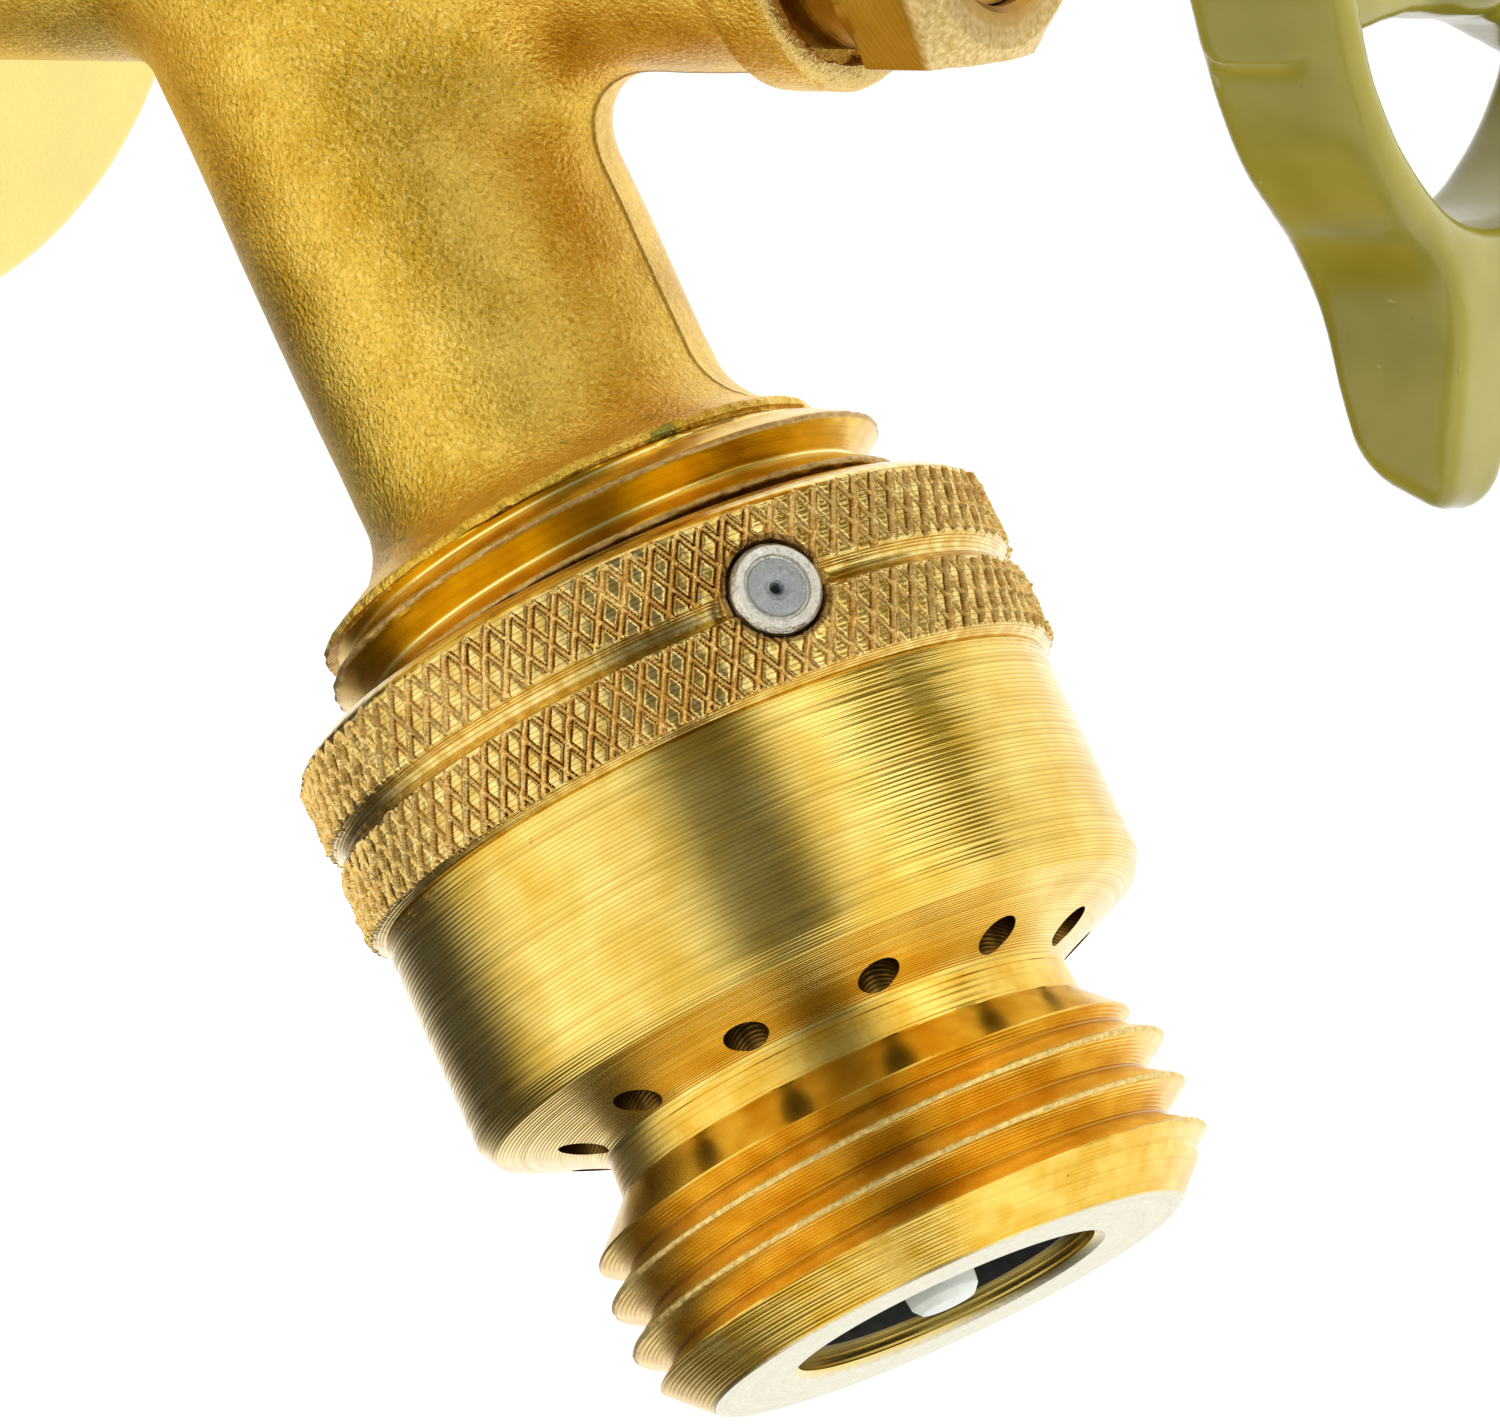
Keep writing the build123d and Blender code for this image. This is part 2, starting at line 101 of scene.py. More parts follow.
def new_piece(name, points, faces, material, body, slot, replaced, sharp, weld=True, values=None):
    """One mesh piece from points in millimetres, attached to its body in place of a frame part; values are
    its wear and painted shading.
    """
    mesh = bpy.data.meshes.new(name)
    faces = np.asarray(faces, np.int32)
    mesh.vertices.add(len(points))
    mesh.vertices.foreach_set("co", (np.asarray(points, float) * MM).astype(np.float32).ravel())
    mesh.loops.add(faces.size)
    mesh.loops.foreach_set("vertex_index", faces.ravel())
    mesh.polygons.add(len(faces))
    mesh.polygons.foreach_set("loop_start", np.arange(0, faces.size, faces.shape[1], dtype=np.int32))
    mesh.update(calc_edges=True)
    if values is not None:
        layer = mesh.attributes.new("wear_and_shading", "FLOAT", "POINT")
        layer.data.foreach_set("value", np.asarray(values, np.float32))
    work = bmesh.new()
    work.from_mesh(mesh)
    if weld:
        bmesh.ops.remove_doubles(work, verts=work.verts, dist=WELD)
    bmesh.ops.recalc_face_normals(work, faces=work.faces)
    work.to_mesh(mesh)
    work.free()
    mesh.validate()
    mesh.shade_smooth()
    mesh.set_sharp_from_angle(angle=math.radians(sharp))
    piece = bpy.data.objects.new(name, mesh)
    bpy.context.scene.collection.objects.link(piece)
    mesh.materials.append(material)
    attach(piece, body)
    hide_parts(replaced)
    return piece


def angles(cols):
    """Even angles in degrees round a ring."""
    return np.arange(cols) * 360.0 / cols


def full_grid(row, rows):
    """A row of values, repeated."""
    return row[None, :] + np.zeros((rows, 1))


def ring_faces(rows, cols, shift=0, start=0):
    """Quads of rows of points that close round; shift joins a helix to its next turn."""
    i = np.arange(rows - 1)[:, None] + np.zeros(cols, int)
    j = np.arange(cols)[None, :] + np.zeros((rows - 1, 1), int)
    step = np.where(j == cols - 1, shift, 0)
    after = (j + 1) % cols
    first = i * cols + j
    second = np.minimum(i + step, rows - 1) * cols + after
    third = np.minimum(i + 1 + step, rows - 1) * cols + after
    fourth = (i + 1) * cols + j
    return start + np.stack([first, second, third, fourth], -1).reshape(-1, 4)


ARC_STEPS = 3
NEARLY_STRAIGHT = 1.5                             # half a corner's angle, in radians


def rounded(points, radius, closed=True):
    """An outline whose corners are rounded by short arcs."""
    points = [np.array(p, float) for p in points]
    count = len(points)
    made = []
    for k in range(count):
        here = points[k]
        if not closed and k in (0, count - 1):
            made.append(here)
            continue
        back, ahead = points[k - 1] - here, points[(k + 1) % count] - here
        reach = min(np.linalg.norm(back), np.linalg.norm(ahead)) * 0.45
        cosine = np.dot(back, ahead) / (np.linalg.norm(back) * np.linalg.norm(ahead))
        half = math.acos(max(-1.0, min(1.0, cosine))) / 2
        cut = min(reach, radius / max(math.tan(half), 1e-3))
        if half > NEARLY_STRAIGHT or here[0] < 1e-6:
            made.append(here)
            continue
        begin = here + back / np.linalg.norm(back) * cut
        end = here + ahead / np.linalg.norm(ahead) * cut
        for t in np.linspace(0, 1, ARC_STEPS + 1):
            made.append((1 - t) ** 2 * begin + 2 * t * (1 - t) * here + t**2 * end)
    return np.array(made)


def turned(points, place, radius, cols=192, closed=True):
    """Points and faces of a turned ring or disc from an outline of (radius, along)."""
    outline = rounded(points, radius, closed)
    if closed:
        outline = np.vstack([outline, outline[:1]])
    r = outline[:, :1] + np.zeros(cols)
    s = outline[:, 1:] + np.zeros(cols)
    grid = place(r, s, full_grid(angles(cols), len(outline)))
    return grid.reshape(-1, 3), ring_faces(len(outline), cols)


def joined(*parts):
    """Several point and face sets as one."""
    points, faces, start = [], [], 0
    for p, f in parts:
        points.append(p)
        faces.append(f + start)
        start += len(p)
    return np.vstack(points), np.vstack(faces)


def thread_grid(radius_at, place, start, end, pitch=PITCH, per_pitch=24, cols=288):
    """A surface whose rows follow a right-hand helix; radius_at(along, angle) gives its radius."""
    lead = pitch / per_pitch
    rows = int(math.ceil((end - start + pitch) / lead)) + 1
    base = start - pitch + lead * np.arange(rows)
    turn = 360.0 - angles(cols)
    s = np.clip(base[:, None] + pitch * turn[None, :] / 360.0, start, end)
    a = full_grid(angles(cols), rows)
    points = place(radius_at(s, a), s, a)[:, ::-1].reshape(-1, 3)
    return points, ring_faces(rows, cols, per_pitch), s[:, ::-1], a[:, ::-1]


# ---------------- solid shapes as distance fields
def round_union(a, b, r):
    """Union of two distances with a fillet of radius r where they meet."""
    u = np.maximum(r - a, 0)
    v = np.maximum(r - b, 0)
    return np.maximum(r, np.minimum(a, b)) - np.hypot(u, v)


def smooth_min(a, b, k):
    """Union of two distances, blended over a width of about k."""
    h = np.clip(0.5 + 0.5 * (b - a) / k, 0, 1)
    return b + (a - b) * h - k * h * (1 - h)


def rounded_slab(flat, across, half, r):
    """A plate: flat is its outline's distance, across the distance from its middle plane."""
    x = flat + r
    y = np.abs(across) - half + r
    return np.minimum(np.maximum(x, y), 0) + np.hypot(np.maximum(x, 0), np.maximum(y, 0)) - r


PROBE = 0.02                                      # millimetres to each side for a slope
PULL_PASSES = 4


def surface(field, detail, low, high, step):
    """Quads over a distance field's zero level by surface nets, then pulled onto the detail."""
    low, high = np.array(low, float), np.array(high, float)
    counts = np.ceil((high - low) / step).astype(int) + 1
    axes = [low[k] + step * np.arange(counts[k]) for k in range(3)]
    values = np.empty(counts)
    for i, x in enumerate(axes[0]):
        y, z = np.meshgrid(axes[1], axes[2], indexing="ij")
        flat = np.stack([np.full(y.size, x), y.ravel(), z.ravel()], -1)
        values[i] = field(flat).reshape(y.shape)
    inside = values < 0
    cells = tuple(counts - 1)
    total = np.zeros(cells + (3,))
    hits = np.zeros(cells)
    for axis in range(3):
        others = [k for k in range(3) if k != axis]
        for p in (0, 1):
            for q in (0, 1):
                near = [slice(0, c) for c in cells]
                near[others[0]] = slice(p, cells[others[0]] + p)
                near[others[1]] = slice(q, cells[others[1]] + q)
                far = list(near)
                far[axis] = slice(1, cells[axis] + 1)
                a, b = values[tuple(near)], values[tuple(far)]
                cross = inside[tuple(near)] != inside[tuple(far)]
                t = np.where(cross, a / np.where(cross, a - b, 1), 0)
                offset = np.zeros(cells + (3,))
                offset[..., others[0]] = p
                offset[..., others[1]] = q
                offset[..., axis] = t
                total += offset * cross[..., None]
                hits += cross
    active = hits > 0
    index = np.full(cells, -1)
    index[active] = np.arange(active.sum())
    where = np.argwhere(active)
    points = low + step * (where + total[active] / hits[active][:, None])
    faces = []
    for axis in range(3):
        b, c = [k for k in range(3) if k != axis]
        span = [slice(1, n) for n in cells]
        span[axis] = slice(0, cells[axis])
        far = [slice(1, n) for n in cells]
        far[axis] = slice(1, cells[axis] + 1)
        near_in, far_in = inside[tuple(span)], inside[tuple(far)]
        found = np.argwhere(near_in != far_in)
        found[:, b] += 1
        found[:, c] += 1
        corner = []
        for p, q in ((0, 0), (1, 0), (1, 1), (0, 1)):
            cell = found.copy()
            cell[:, b] -= p
            cell[:, c] -= q
            corner.append(index[cell[:, 0], cell[:, 1], cell[:, 2]])
        faces.append(np.stack(corner, -1))
    faces = np.vstack(faces)
    faces = faces[(faces >= 0).all(1)]
    for _ in range(PULL_PASSES):
        value = detail(points)
        slope = np.zeros_like(points)
        for axis in range(3):
            shift = np.zeros(3)
            shift[axis] = PROBE
            slope[:, axis] = (detail(points + shift) - detail(points - shift)) / (2 * PROBE)
        size = np.maximum((slope**2).sum(1), 0.25)
        move = -slope * (value / size)[:, None]
        length = np.linalg.norm(move, axis=1, keepdims=True)
        points = points + move * np.minimum(1, 0.5 * step / np.maximum(length, 1e-9))
    return points, faces


# ---------------- material helpers
SLOW_LINES_MM = 0.45                              # size of the change from tool line to tool line
LINE_DRIFT = 5.0                                  # radians by which it shifts the lines


def scaled(colour, share):
    """A colour made darker or lighter."""
    return tuple(np.array(colour) * share)


class Shader:
    """A small helper round one material's nodes."""

    def __init__(self, name):
        self.material = bpy.data.materials.new(name)
        self.material.use_nodes = True
        self.tree = self.material.node_tree
        self.base = self.tree.nodes["Principled BSDF"]
        self.place = self.node("ShaderNodeTexCoord").outputs["Object"]

    def node(self, kind, **settings):
        made = self.tree.nodes.new(kind)
        for key, value in settings.items():
            setattr(made, key, value)
        return made

    def link(self, source, target):
        if isinstance(source, (int, float, tuple)):
            target.default_value = source
        else:
            self.tree.links.new(source, target)

    def math(self, kind, a, b=0.0, c=0.0):
        made = self.node("ShaderNodeMath", operation=kind)
        for value, socket in zip((a, b, c), made.inputs):
            self.link(value, socket)
        return made.outputs[0]

    def times(self, a, b):
        return self.math("MULTIPLY", a, b)

    def add(self, a, b):
        return self.math("ADD", a, b)

    def noise(self, size_mm, detail=2.0, roughness=0.5, distortion=0.0):
        made = self.node("ShaderNodeTexNoise")
        names = ("Vector", "Scale", "Detail", "Roughness", "Distortion")
        for name, value in zip(names, (self.place, 1.0 / (size_mm * MM), detail, roughness, distortion)):
            self.link(value, made.inputs[name])
        return made.outputs["Fac"]

    def cells(self, size_mm):
        made = self.node("ShaderNodeTexVoronoi")
        self.link(self.place, made.inputs["Vector"])
        made.inputs["Scale"].default_value = 1.0 / (size_mm * MM)
        return made.outputs["Distance"]

    def ramp(self, value, *stops):
        """Colours or greys at chosen places of a value."""
        made = self.node("ShaderNodeValToRGB")
        self.link(value, made.inputs[0])
        band = made.color_ramp
        while len(band.elements) < len(stops):
            band.elements.new(0.5)
        for element, (at, colour) in zip(band.elements, stops):
            element.position = at
            element.color = (colour, colour, colour, 1) if isinstance(colour, float) else (*colour, 1)
        return made.outputs["Color"]

    def span(self, value, low, high, to_low=0.0, to_high=1.0, smooth=False):
        made = self.node("ShaderNodeMapRange")
        if smooth:
            made.interpolation_type = "SMOOTHSTEP"
        for item, socket in zip((value, low, high, to_low, to_high), made.inputs):
            self.link(item, socket)
        return made.outputs[0]

    def mix(self, factor, a, b, kind="MIX"):
        made = self.node("ShaderNodeMix", data_type="RGBA", blend_type=kind)
        self.link(factor, made.inputs[0])
        self.link((*a, 1) if isinstance(a, tuple) else a, made.inputs[6])
        self.link((*b, 1) if isinstance(b, tuple) else b, made.inputs[7])
        return made.outputs[2]

    def bump(self, height, depth_mm, normal=None):
        made = self.node("ShaderNodeBump")
        made.inputs["Strength"].default_value = 1.0
        made.inputs["Distance"].default_value = depth_mm * MM
        self.link(height, made.inputs["Height"])
        if normal is not None:
            self.link(normal, made.inputs["Normal"])
        return made.outputs["Normal"]

    def vector(self, kind, a, b=(0.0, 0.0, 0.0)):
        made = self.node("ShaderNodeVectorMath", operation=kind)
        self.link(a, made.inputs[0])
        self.link(b, made.inputs[1])
        return made.outputs["Value" if kind in ("DOT_PRODUCT", "LENGTH") else "Vector"]

    def from_crossing(self):
        return self.vector("SUBTRACT", self.place, tuple(CROSSING * MM))

    def along(self, axis):
        """Distance in metres from the crossing along an axis."""
        return self.vector("DOT_PRODUCT", self.from_crossing(), tuple(axis))

    def turning(self, axis):
        """A place in metres that runs along a turned profile, down its side and in over its end."""
        size = self.vector("LENGTH", self.from_crossing())
        along = self.along(axis)
        square = self.math("SUBTRACT", self.times(size, size), self.times(along, along))
        return self.math("SUBTRACT", along, self.math("SQRT", square))

    def spots(self, tone, share, colour, size_mm, low, high, detail=3.0, roughness=0.7):
        """The tone with small scattered spots of a colour in it."""
        found = self.span(self.noise(size_mm, detail, roughness), low, high)
        return self.mix(self.times(found, share), tone, colour)

    def metal(self, tone, roughness, normal):
        return self.set(Base_Color=tone, Metallic=1.0, Roughness=roughness, Normal=normal)

    def tool_lines(self, axis, pitch_mm):
        """Height of regular tool lines, and a slower change from line to line."""
        place = self.turning(axis)
        slow = self.node("ShaderNodeTexNoise", noise_dimensions="1D")
        self.link(self.times(place, 1.0 / (SLOW_LINES_MM * MM)), slow.inputs["W"])
        slow.inputs["Scale"].default_value = 1.0
        slow.inputs["Detail"].default_value = 3.0
        phase = self.times(place, 2 * math.pi / (pitch_mm * MM))
        phase = self.add(phase, self.times(slow.outputs["Fac"], LINE_DRIFT))
        wave = self.math("SINE", phase)
        return self.times(self.add(wave, 1.0), 0.5), slow.outputs["Fac"]

    def wear_and_shading(self):
        """The piece's own value at each point, such as 0 at a thread's root and 1 at its crest; it places
        real wear and also painted highlights and shade.
        """
        return self.node("ShaderNodeAttribute", attribute_name="wear_and_shading").outputs["Fac"]

    def set(self, **values):
        for key, value in values.items():
            socket = self.base.inputs[key.replace("_", " ")]
            self.link((*value, 1) if isinstance(value, tuple) and len(value) == 3 else value, socket)
        return self.material


def cast_material(name, dark, light, rough, grain):
    """Grainy skin with painted glints on its grains, a parting line with a painted shadow line beside it,
    green spots by the shoulder, paler on flange and collar.
    """
    m = Shader(name)
    broad = m.noise(5.0, 3.0, 0.6)
    fine = m.noise(0.21, 2.0, 0.6, 0.6)
    tone = m.mix(m.span(broad, 0.35, 0.65), dark, light)
    tone = m.mix(m.span(fine, 0.32, 0.46, 0.5, 0.0), tone, (0.40, 0.22, 0.012))
    # painted highlight: bright glints on the lighter grains
    tone = m.mix(m.span(fine, 0.55, 0.70, 0.0, 0.5), tone, (1.0, 0.80, 0.28))
    tone = m.spots(tone, 0.6, (0.16, 0.08, 0.01), 0.7, 0.71, 0.76)
    band = m.along(SPOUT)
    low = m.span(band, 0.0308, 0.0326, smooth=True)
    green = m.times(m.span(m.noise(1.4, 2.0), 0.68, 0.74), low)
    tone = m.mix(m.times(green, 0.6), tone, (0.10, 0.20, 0.05))
    sides = m.node("ShaderNodeSeparateXYZ")
    m.link(m.place, sides.inputs[0])
    from_seam = m.times(sides.outputs["X"], 1.0 / MM)
    front = m.span(m.along(VALVE), 0.0252, 0.0258, 1.0, 0.0)
    below = m.times(m.span(band, 0.010, 0.013), front)
    seam = m.times(m.span(m.math("ABSOLUTE", from_seam), 0.05, 0.22, 1.0, 0.0), below)
    # painted shadow: a dark line just beside the raised parting line
    beside = m.math("ABSOLUTE", m.add(from_seam, 0.26))
    shaded = m.times(m.span(beside, 0.02, 0.16, 0.75, 0.0), below)
    tone = m.mix(shaded, tone, (0.20, 0.10, 0.01))
    flange = m.span(m.along(VALVE), -0.0222, -0.0200, 1.0, 0.0)
    tone = m.mix(m.times(flange, 0.75), tone, (0.84, 0.72, 0.27))
    collar = m.span(m.along(VALVE), 0.0290, 0.0294)
    tone = m.mix(m.times(collar, 0.6), tone, (0.70, 0.52, 0.20))
    grains = m.add(fine, m.times(m.cells(0.30), 0.4))
    height = m.add(m.times(grains, m.span(flange, 0.0, 1.0, 1.0, 0.35)), m.times(seam, 1.4))
    return m.metal(tone, m.span(broad, 0.3, 0.7, rough - 0.04, rough + 0.06), m.bump(height, grain))


def turned_material(name, dark, light, rough, lines, axis, line_mm=0.21, torn=None, contrast=1.0):
    """Tool lines round an axis; torn is the two colours and the depth of a skin where the wear and shading
    value is 1, which on the outlet's end face is partly a painted reflection.
    """
    m = Shader(name)
    wave, slow = m.tool_lines(axis, line_mm)
    soft = m.noise(3.5, 2.0)
    tone = m.mix(m.span(soft, 0.35, 0.7), dark, light)
    tone = m.mix(m.span(slow, 0.45, 0.75, 0.0, 0.35 * contrast), tone, scaled(dark, 0.7))
    tone = m.mix(m.span(wave, 0.0, 0.45, 0.55 * contrast, 0.0), tone, scaled(dark, 0.55))
    tone = m.spots(tone, 0.35, (0.25, 0.12, 0.03), 1.3, 0.69, 0.74, detail=4.0)
    normal = m.bump(m.add(wave, m.times(slow, 0.6)), lines)
    roughness = m.span(slow, 0.3, 0.7, rough, rough + 0.10)
    if torn:
        wear_and_shading = m.wear_and_shading()
        grit = m.noise(0.3, 3.0, 0.6)
        skin = m.mix(m.span(grit, 0.35, 0.65), torn[0], torn[1])
        tone = m.mix(wear_and_shading, tone, skin)
        normal = m.bump(m.times(grit, wear_and_shading), torn[2], normal)
        roughness = m.add(roughness, m.times(wear_and_shading, 0.2))
    return m.metal(tone, roughness, normal)


def knurl_material():
    """The wear and shading value is 0 in the trenches, which are painted dark brown as shade, about 0.5 on
    the ridges and 1 where the blank is left.
    """
    m = Shader("knurled_brass")
    wear_and_shading = m.wear_and_shading()
    wave, slow = m.tool_lines(SPOUT, 0.23)
    grit = m.noise(0.22, 3.0, 0.65)
    gold = m.mix(m.span(m.noise(0.7, 2.0), 0.35, 0.65), (0.66, 0.43, 0.09), (0.93, 0.72, 0.26))
    gold = m.mix(m.span(wave, 0.0, 0.4, 0.65, 0.0), gold, (0.34, 0.19, 0.03))
    tan = m.mix(m.span(grit, 0.35, 0.65), (0.66, 0.37, 0.075), (0.98, 0.72, 0.28))
    # painted shade: the trenches beside the ridges and the screw's pocket turn dark brown
    tone = m.mix(m.span(wear_and_shading, 0.10, 0.46), (0.17, 0.075, 0.010), tan)
    tone = m.mix(m.span(wear_and_shading, 0.58, 0.80), tone, gold)
    tone = m.spots(tone, 0.6, (0.25, 0.11, 0.03), 0.8, 0.70, 0.75)
    flat = m.span(wear_and_shading, 0.6, 0.9)
    turned_part = m.times(m.add(wave, slow), m.times(flat, 0.35))
    height = m.add(turned_part, m.times(grit, m.span(flat, 0.0, 1.0, 1.6, 0.25)))
    return m.metal(tone, m.span(wear_and_shading, 0.5, 0.98, 0.36, 0.16), m.bump(height, 0.03))


def thread_material(name, root, flank_low, flank_high, crest, rough, lines):
    """The wear and shading value runs from 0 at the root of the thread to 1 at its crest; the root colour is
    painted light, a bright line on the body thread and shade on the outlet thread.
    """
    m = Shader(name)
    wear_and_shading = m.wear_and_shading()
    wave, slow = m.tool_lines(SPOUT, 0.28)
    cloud = m.noise(1.8, 3.0)
    grit = m.noise(0.28, 3.0, 0.65)
    tone = m.mix(m.span(cloud, 0.35, 0.65), flank_low, flank_high)
    tone = m.mix(m.span(slow, 0.5, 0.75, 0.0, 0.3), tone, scaled(flank_low, 0.7))
    # painted light: the root takes its own colour, a highlight on one thread and shade on the other
    tone = m.mix(m.span(wear_and_shading, 0.0, 0.05, 1.0, 0.0), tone, root)
    top = m.span(m.add(wear_and_shading, m.times(grit, 0.12)), 0.97, 1.03)
    tone = m.mix(top, tone, m.mix(m.span(grit, 0.35, 0.65), scaled(crest, 0.6), crest))
    tone = m.spots(tone, 0.6, (0.22, 0.10, 0.02), 0.7, 0.71, 0.75)
    height = m.add(m.times(wave, lines), m.times(slow, 0.3))
    height = m.add(height, m.times(grit, m.span(top, 0.0, 1.0, 0.12, 0.8)))
    return m.metal(tone, m.span(top, 0.0, 1.0, rough, rough + 0.22), m.bump(height, 0.035))


def steel_material(name, low, high, rough):
    """Cloudy grey metal with dark grit."""
    m = Shader(name)
    cloud = m.noise(1.0, 4.0, 0.6)
    grit = m.noise(0.16, 3.0, 0.6)
    tone = m.mix(m.span(cloud, 0.35, 0.65), low, high)
    tone = m.mix(m.span(grit, 0.30, 0.42, 0.6, 0.0), tone, scaled(low, 0.4))
    bumped = m.bump(m.add(grit, cloud), 0.05)
    return m.metal(tone, m.span(grit, 0.3, 0.7, rough, rough + 0.15), bumped)


def stub_material():
    """The broken screw: a bright bent ring round a grey disc with a dimple painted dark as shade."""
    m = Shader("stub_steel")
    wear_and_shading = m.wear_and_shading()
    grit = m.noise(0.16, 3.0, 0.65)
    scratched = m.noise(0.5, 4.0, 0.7, distortion=1.2)
    # painted shade: the dimple in the middle is near black
    tone = m.ramp(
        wear_and_shading, (0.0, (0.03, 0.035, 0.04)), (0.25, (0.40, 0.43, 0.44)), (0.6, (0.46, 0.48, 0.47)),
        (0.8, (0.86, 0.83, 0.72)),
    )
    tone = m.mix(m.span(grit, 0.30, 0.44, 0.55, 0.0), tone, (0.16, 0.16, 0.15))
    height = m.add(grit, m.times(scratched, 1.4))
    return m.metal(tone, m.span(scratched, 0.3, 0.7, 0.24, 0.42), m.bump(height, 0.07))


def paint_material():
    """Olive enamel with small pits and raised specks."""
    m = Shader("olive_enamel")
    cloud = m.noise(7.0, 3.0)
    tone = m.mix(m.span(cloud, 0.35, 0.65), (0.172, 0.147, 0.012), (0.228, 0.196, 0.024))
    tone = m.spots(tone, 0.5, (0.10, 0.07, 0.01), 0.9, 0.70, 0.75)
    nibs = m.span(m.noise(1.1, 1.0), 0.76, 0.82)
    tone = m.mix(m.times(nibs, 0.15), tone, (0.62, 0.58, 0.30))
    height = m.add(m.times(m.noise(3.2, 2.0), 0.9), nibs)
    m.set(Coat_Weight=0.15, Specular_IOR_Level=0.30, Coat_Roughness=0.05, Metallic=0.0)
    return m.set(Base_Color=tone, Roughness=m.span(cloud, 0.3, 0.7, 0.18, 0.28), Normal=m.bump(height, 0.05))


def plain_material(name, low, high, rough, size_mm, depth_mm):
    """Plastic, rubber, fibre or packing: one cloudy colour."""
    m = Shader(name)
    cloud = m.noise(size_mm, 3.0, 0.6)
    tone = m.mix(m.span(cloud, 0.3, 0.7), low, high)
    rough = m.span(cloud, 0.3, 0.7, rough, rough + 0.12)
    return m.set(Base_Color=tone, Roughness=rough, Normal=m.bump(cloud, depth_mm))


cast_brass = cast_material("cast_brass", (0.62, 0.36, 0.026), (0.90, 0.61, 0.10), 0.36, 0.10)
turned_brass = turned_material("turned_brass", (0.74, 0.475, 0.065), (0.95, 0.72, 0.20), 0.14, 0.016, SPOUT)
# painted reflection: the pale cream skin colours of the end face stand in for a reflection, over its real
# grit
face_brass = turned_material(
    "face_brass", (0.72, 0.50, 0.10), (0.88, 0.68, 0.20), 0.16, 0.010, SPOUT, 0.3,
    ((0.64, 0.60, 0.44), (0.74, 0.71, 0.56), 0.03), 0.4)
# painted shade: the walls of the vent holes are dark brown brass
vent_shade_brass = turned_material("vent_shade_brass", (0.16, 0.08, 0.012), (0.24, 0.13, 0.025), 0.35, 0.010, SPOUT)
valve_brass = turned_material(
    "bonnet_brass", (0.36, 0.18, 0.012), (0.48, 0.26, 0.026), 0.30, 0.003, VALVE, 0.3,
    ((0.62, 0.43, 0.13), (0.88, 0.70, 0.34), 0.05), 0.15)
knurled_brass = knurl_material()
# painted highlight: the body thread's pale root colour is a bright line at the root
body_thread_brass = thread_material(
    "body_thread_brass", (0.95, 0.80, 0.32), (0.66, 0.39, 0.02), (0.80, 0.52, 0.04), (0.66, 0.43, 0.15),
    0.24, 0.08)
# painted shade: the outlet thread's root colour is darker than its flanks
outlet_thread_brass = thread_material(
    "outlet_thread_brass", (0.50, 0.24, 0.02), (0.74, 0.43, 0.04), (0.90, 0.62, 0.13), (0.94, 0.70, 0.24),
    0.27, 0.35)
zinc_steel = steel_material("zinc_steel", (0.50, 0.50, 0.47), (0.76, 0.75, 0.70), 0.3)
spring_steel = steel_material("spring_steel", (0.45, 0.45, 0.45), (0.6, 0.6, 0.6), 0.25)
stub_steel = stub_material()
olive_enamel = paint_material()
white_acetal = plain_material("white_acetal", (0.50, 0.52, 0.46), (0.60, 0.62, 0.55), 0.35, 0.8, 0.02)
black_acetal = plain_material("black_acetal", (0.010, 0.010, 0.010), (0.022, 0.021, 0.020), 0.3, 0.6, 0.02)
black_rubber = plain_material("black_rubber", (0.012, 0.012, 0.012), (0.026, 0.025, 0.024), 0.55, 0.3, 0.03)
fibre = plain_material("red_fibre", (0.30, 0.07, 0.04), (0.38, 0.11, 0.06), 0.7, 0.4, 0.05)
graphite = plain_material("graphite_packing", (0.03, 0.03, 0.032), (0.06, 0.06, 0.063), 0.45, 0.5, 0.08)


# ---------------- cast body
def round_axis(points, axis):
    """Distance from an axis through the crossing, and place along it."""
    from_crossing = points - CROSSING
    along = from_crossing @ axis
    away = from_crossing - along[:, None] * axis
    return np.linalg.norm(away, axis=1), along


def spout_angle(points):
    """Angle round the spout axis in degrees: 0 is -X and 90 is the handwheel side."""
    q = points - CROSSING
    return np.degrees(np.arctan2(q @ SIDE, -q[:, 0]))


CONE_START = 31.95                                # cast shoulder under the hose thread
CONE_RISE = 0.618
BARREL_R, NECK_R, COLLAR_R, RECESS_R = 9.0, 8.7, 9.9, 8.7
FLANGE_WIDE, FLANGE_HIGH = 28.5, 21.5             # half of each
HOLE_X, HOLE_R = 21.5, 2.6                        # screw holes of the flange


def shoulder_edge(angle):
    """Radius of the cast shoulder, which sits off the machined axis."""
    return 12.15 + 0.95 * np.cos(np.radians(angle + 62))


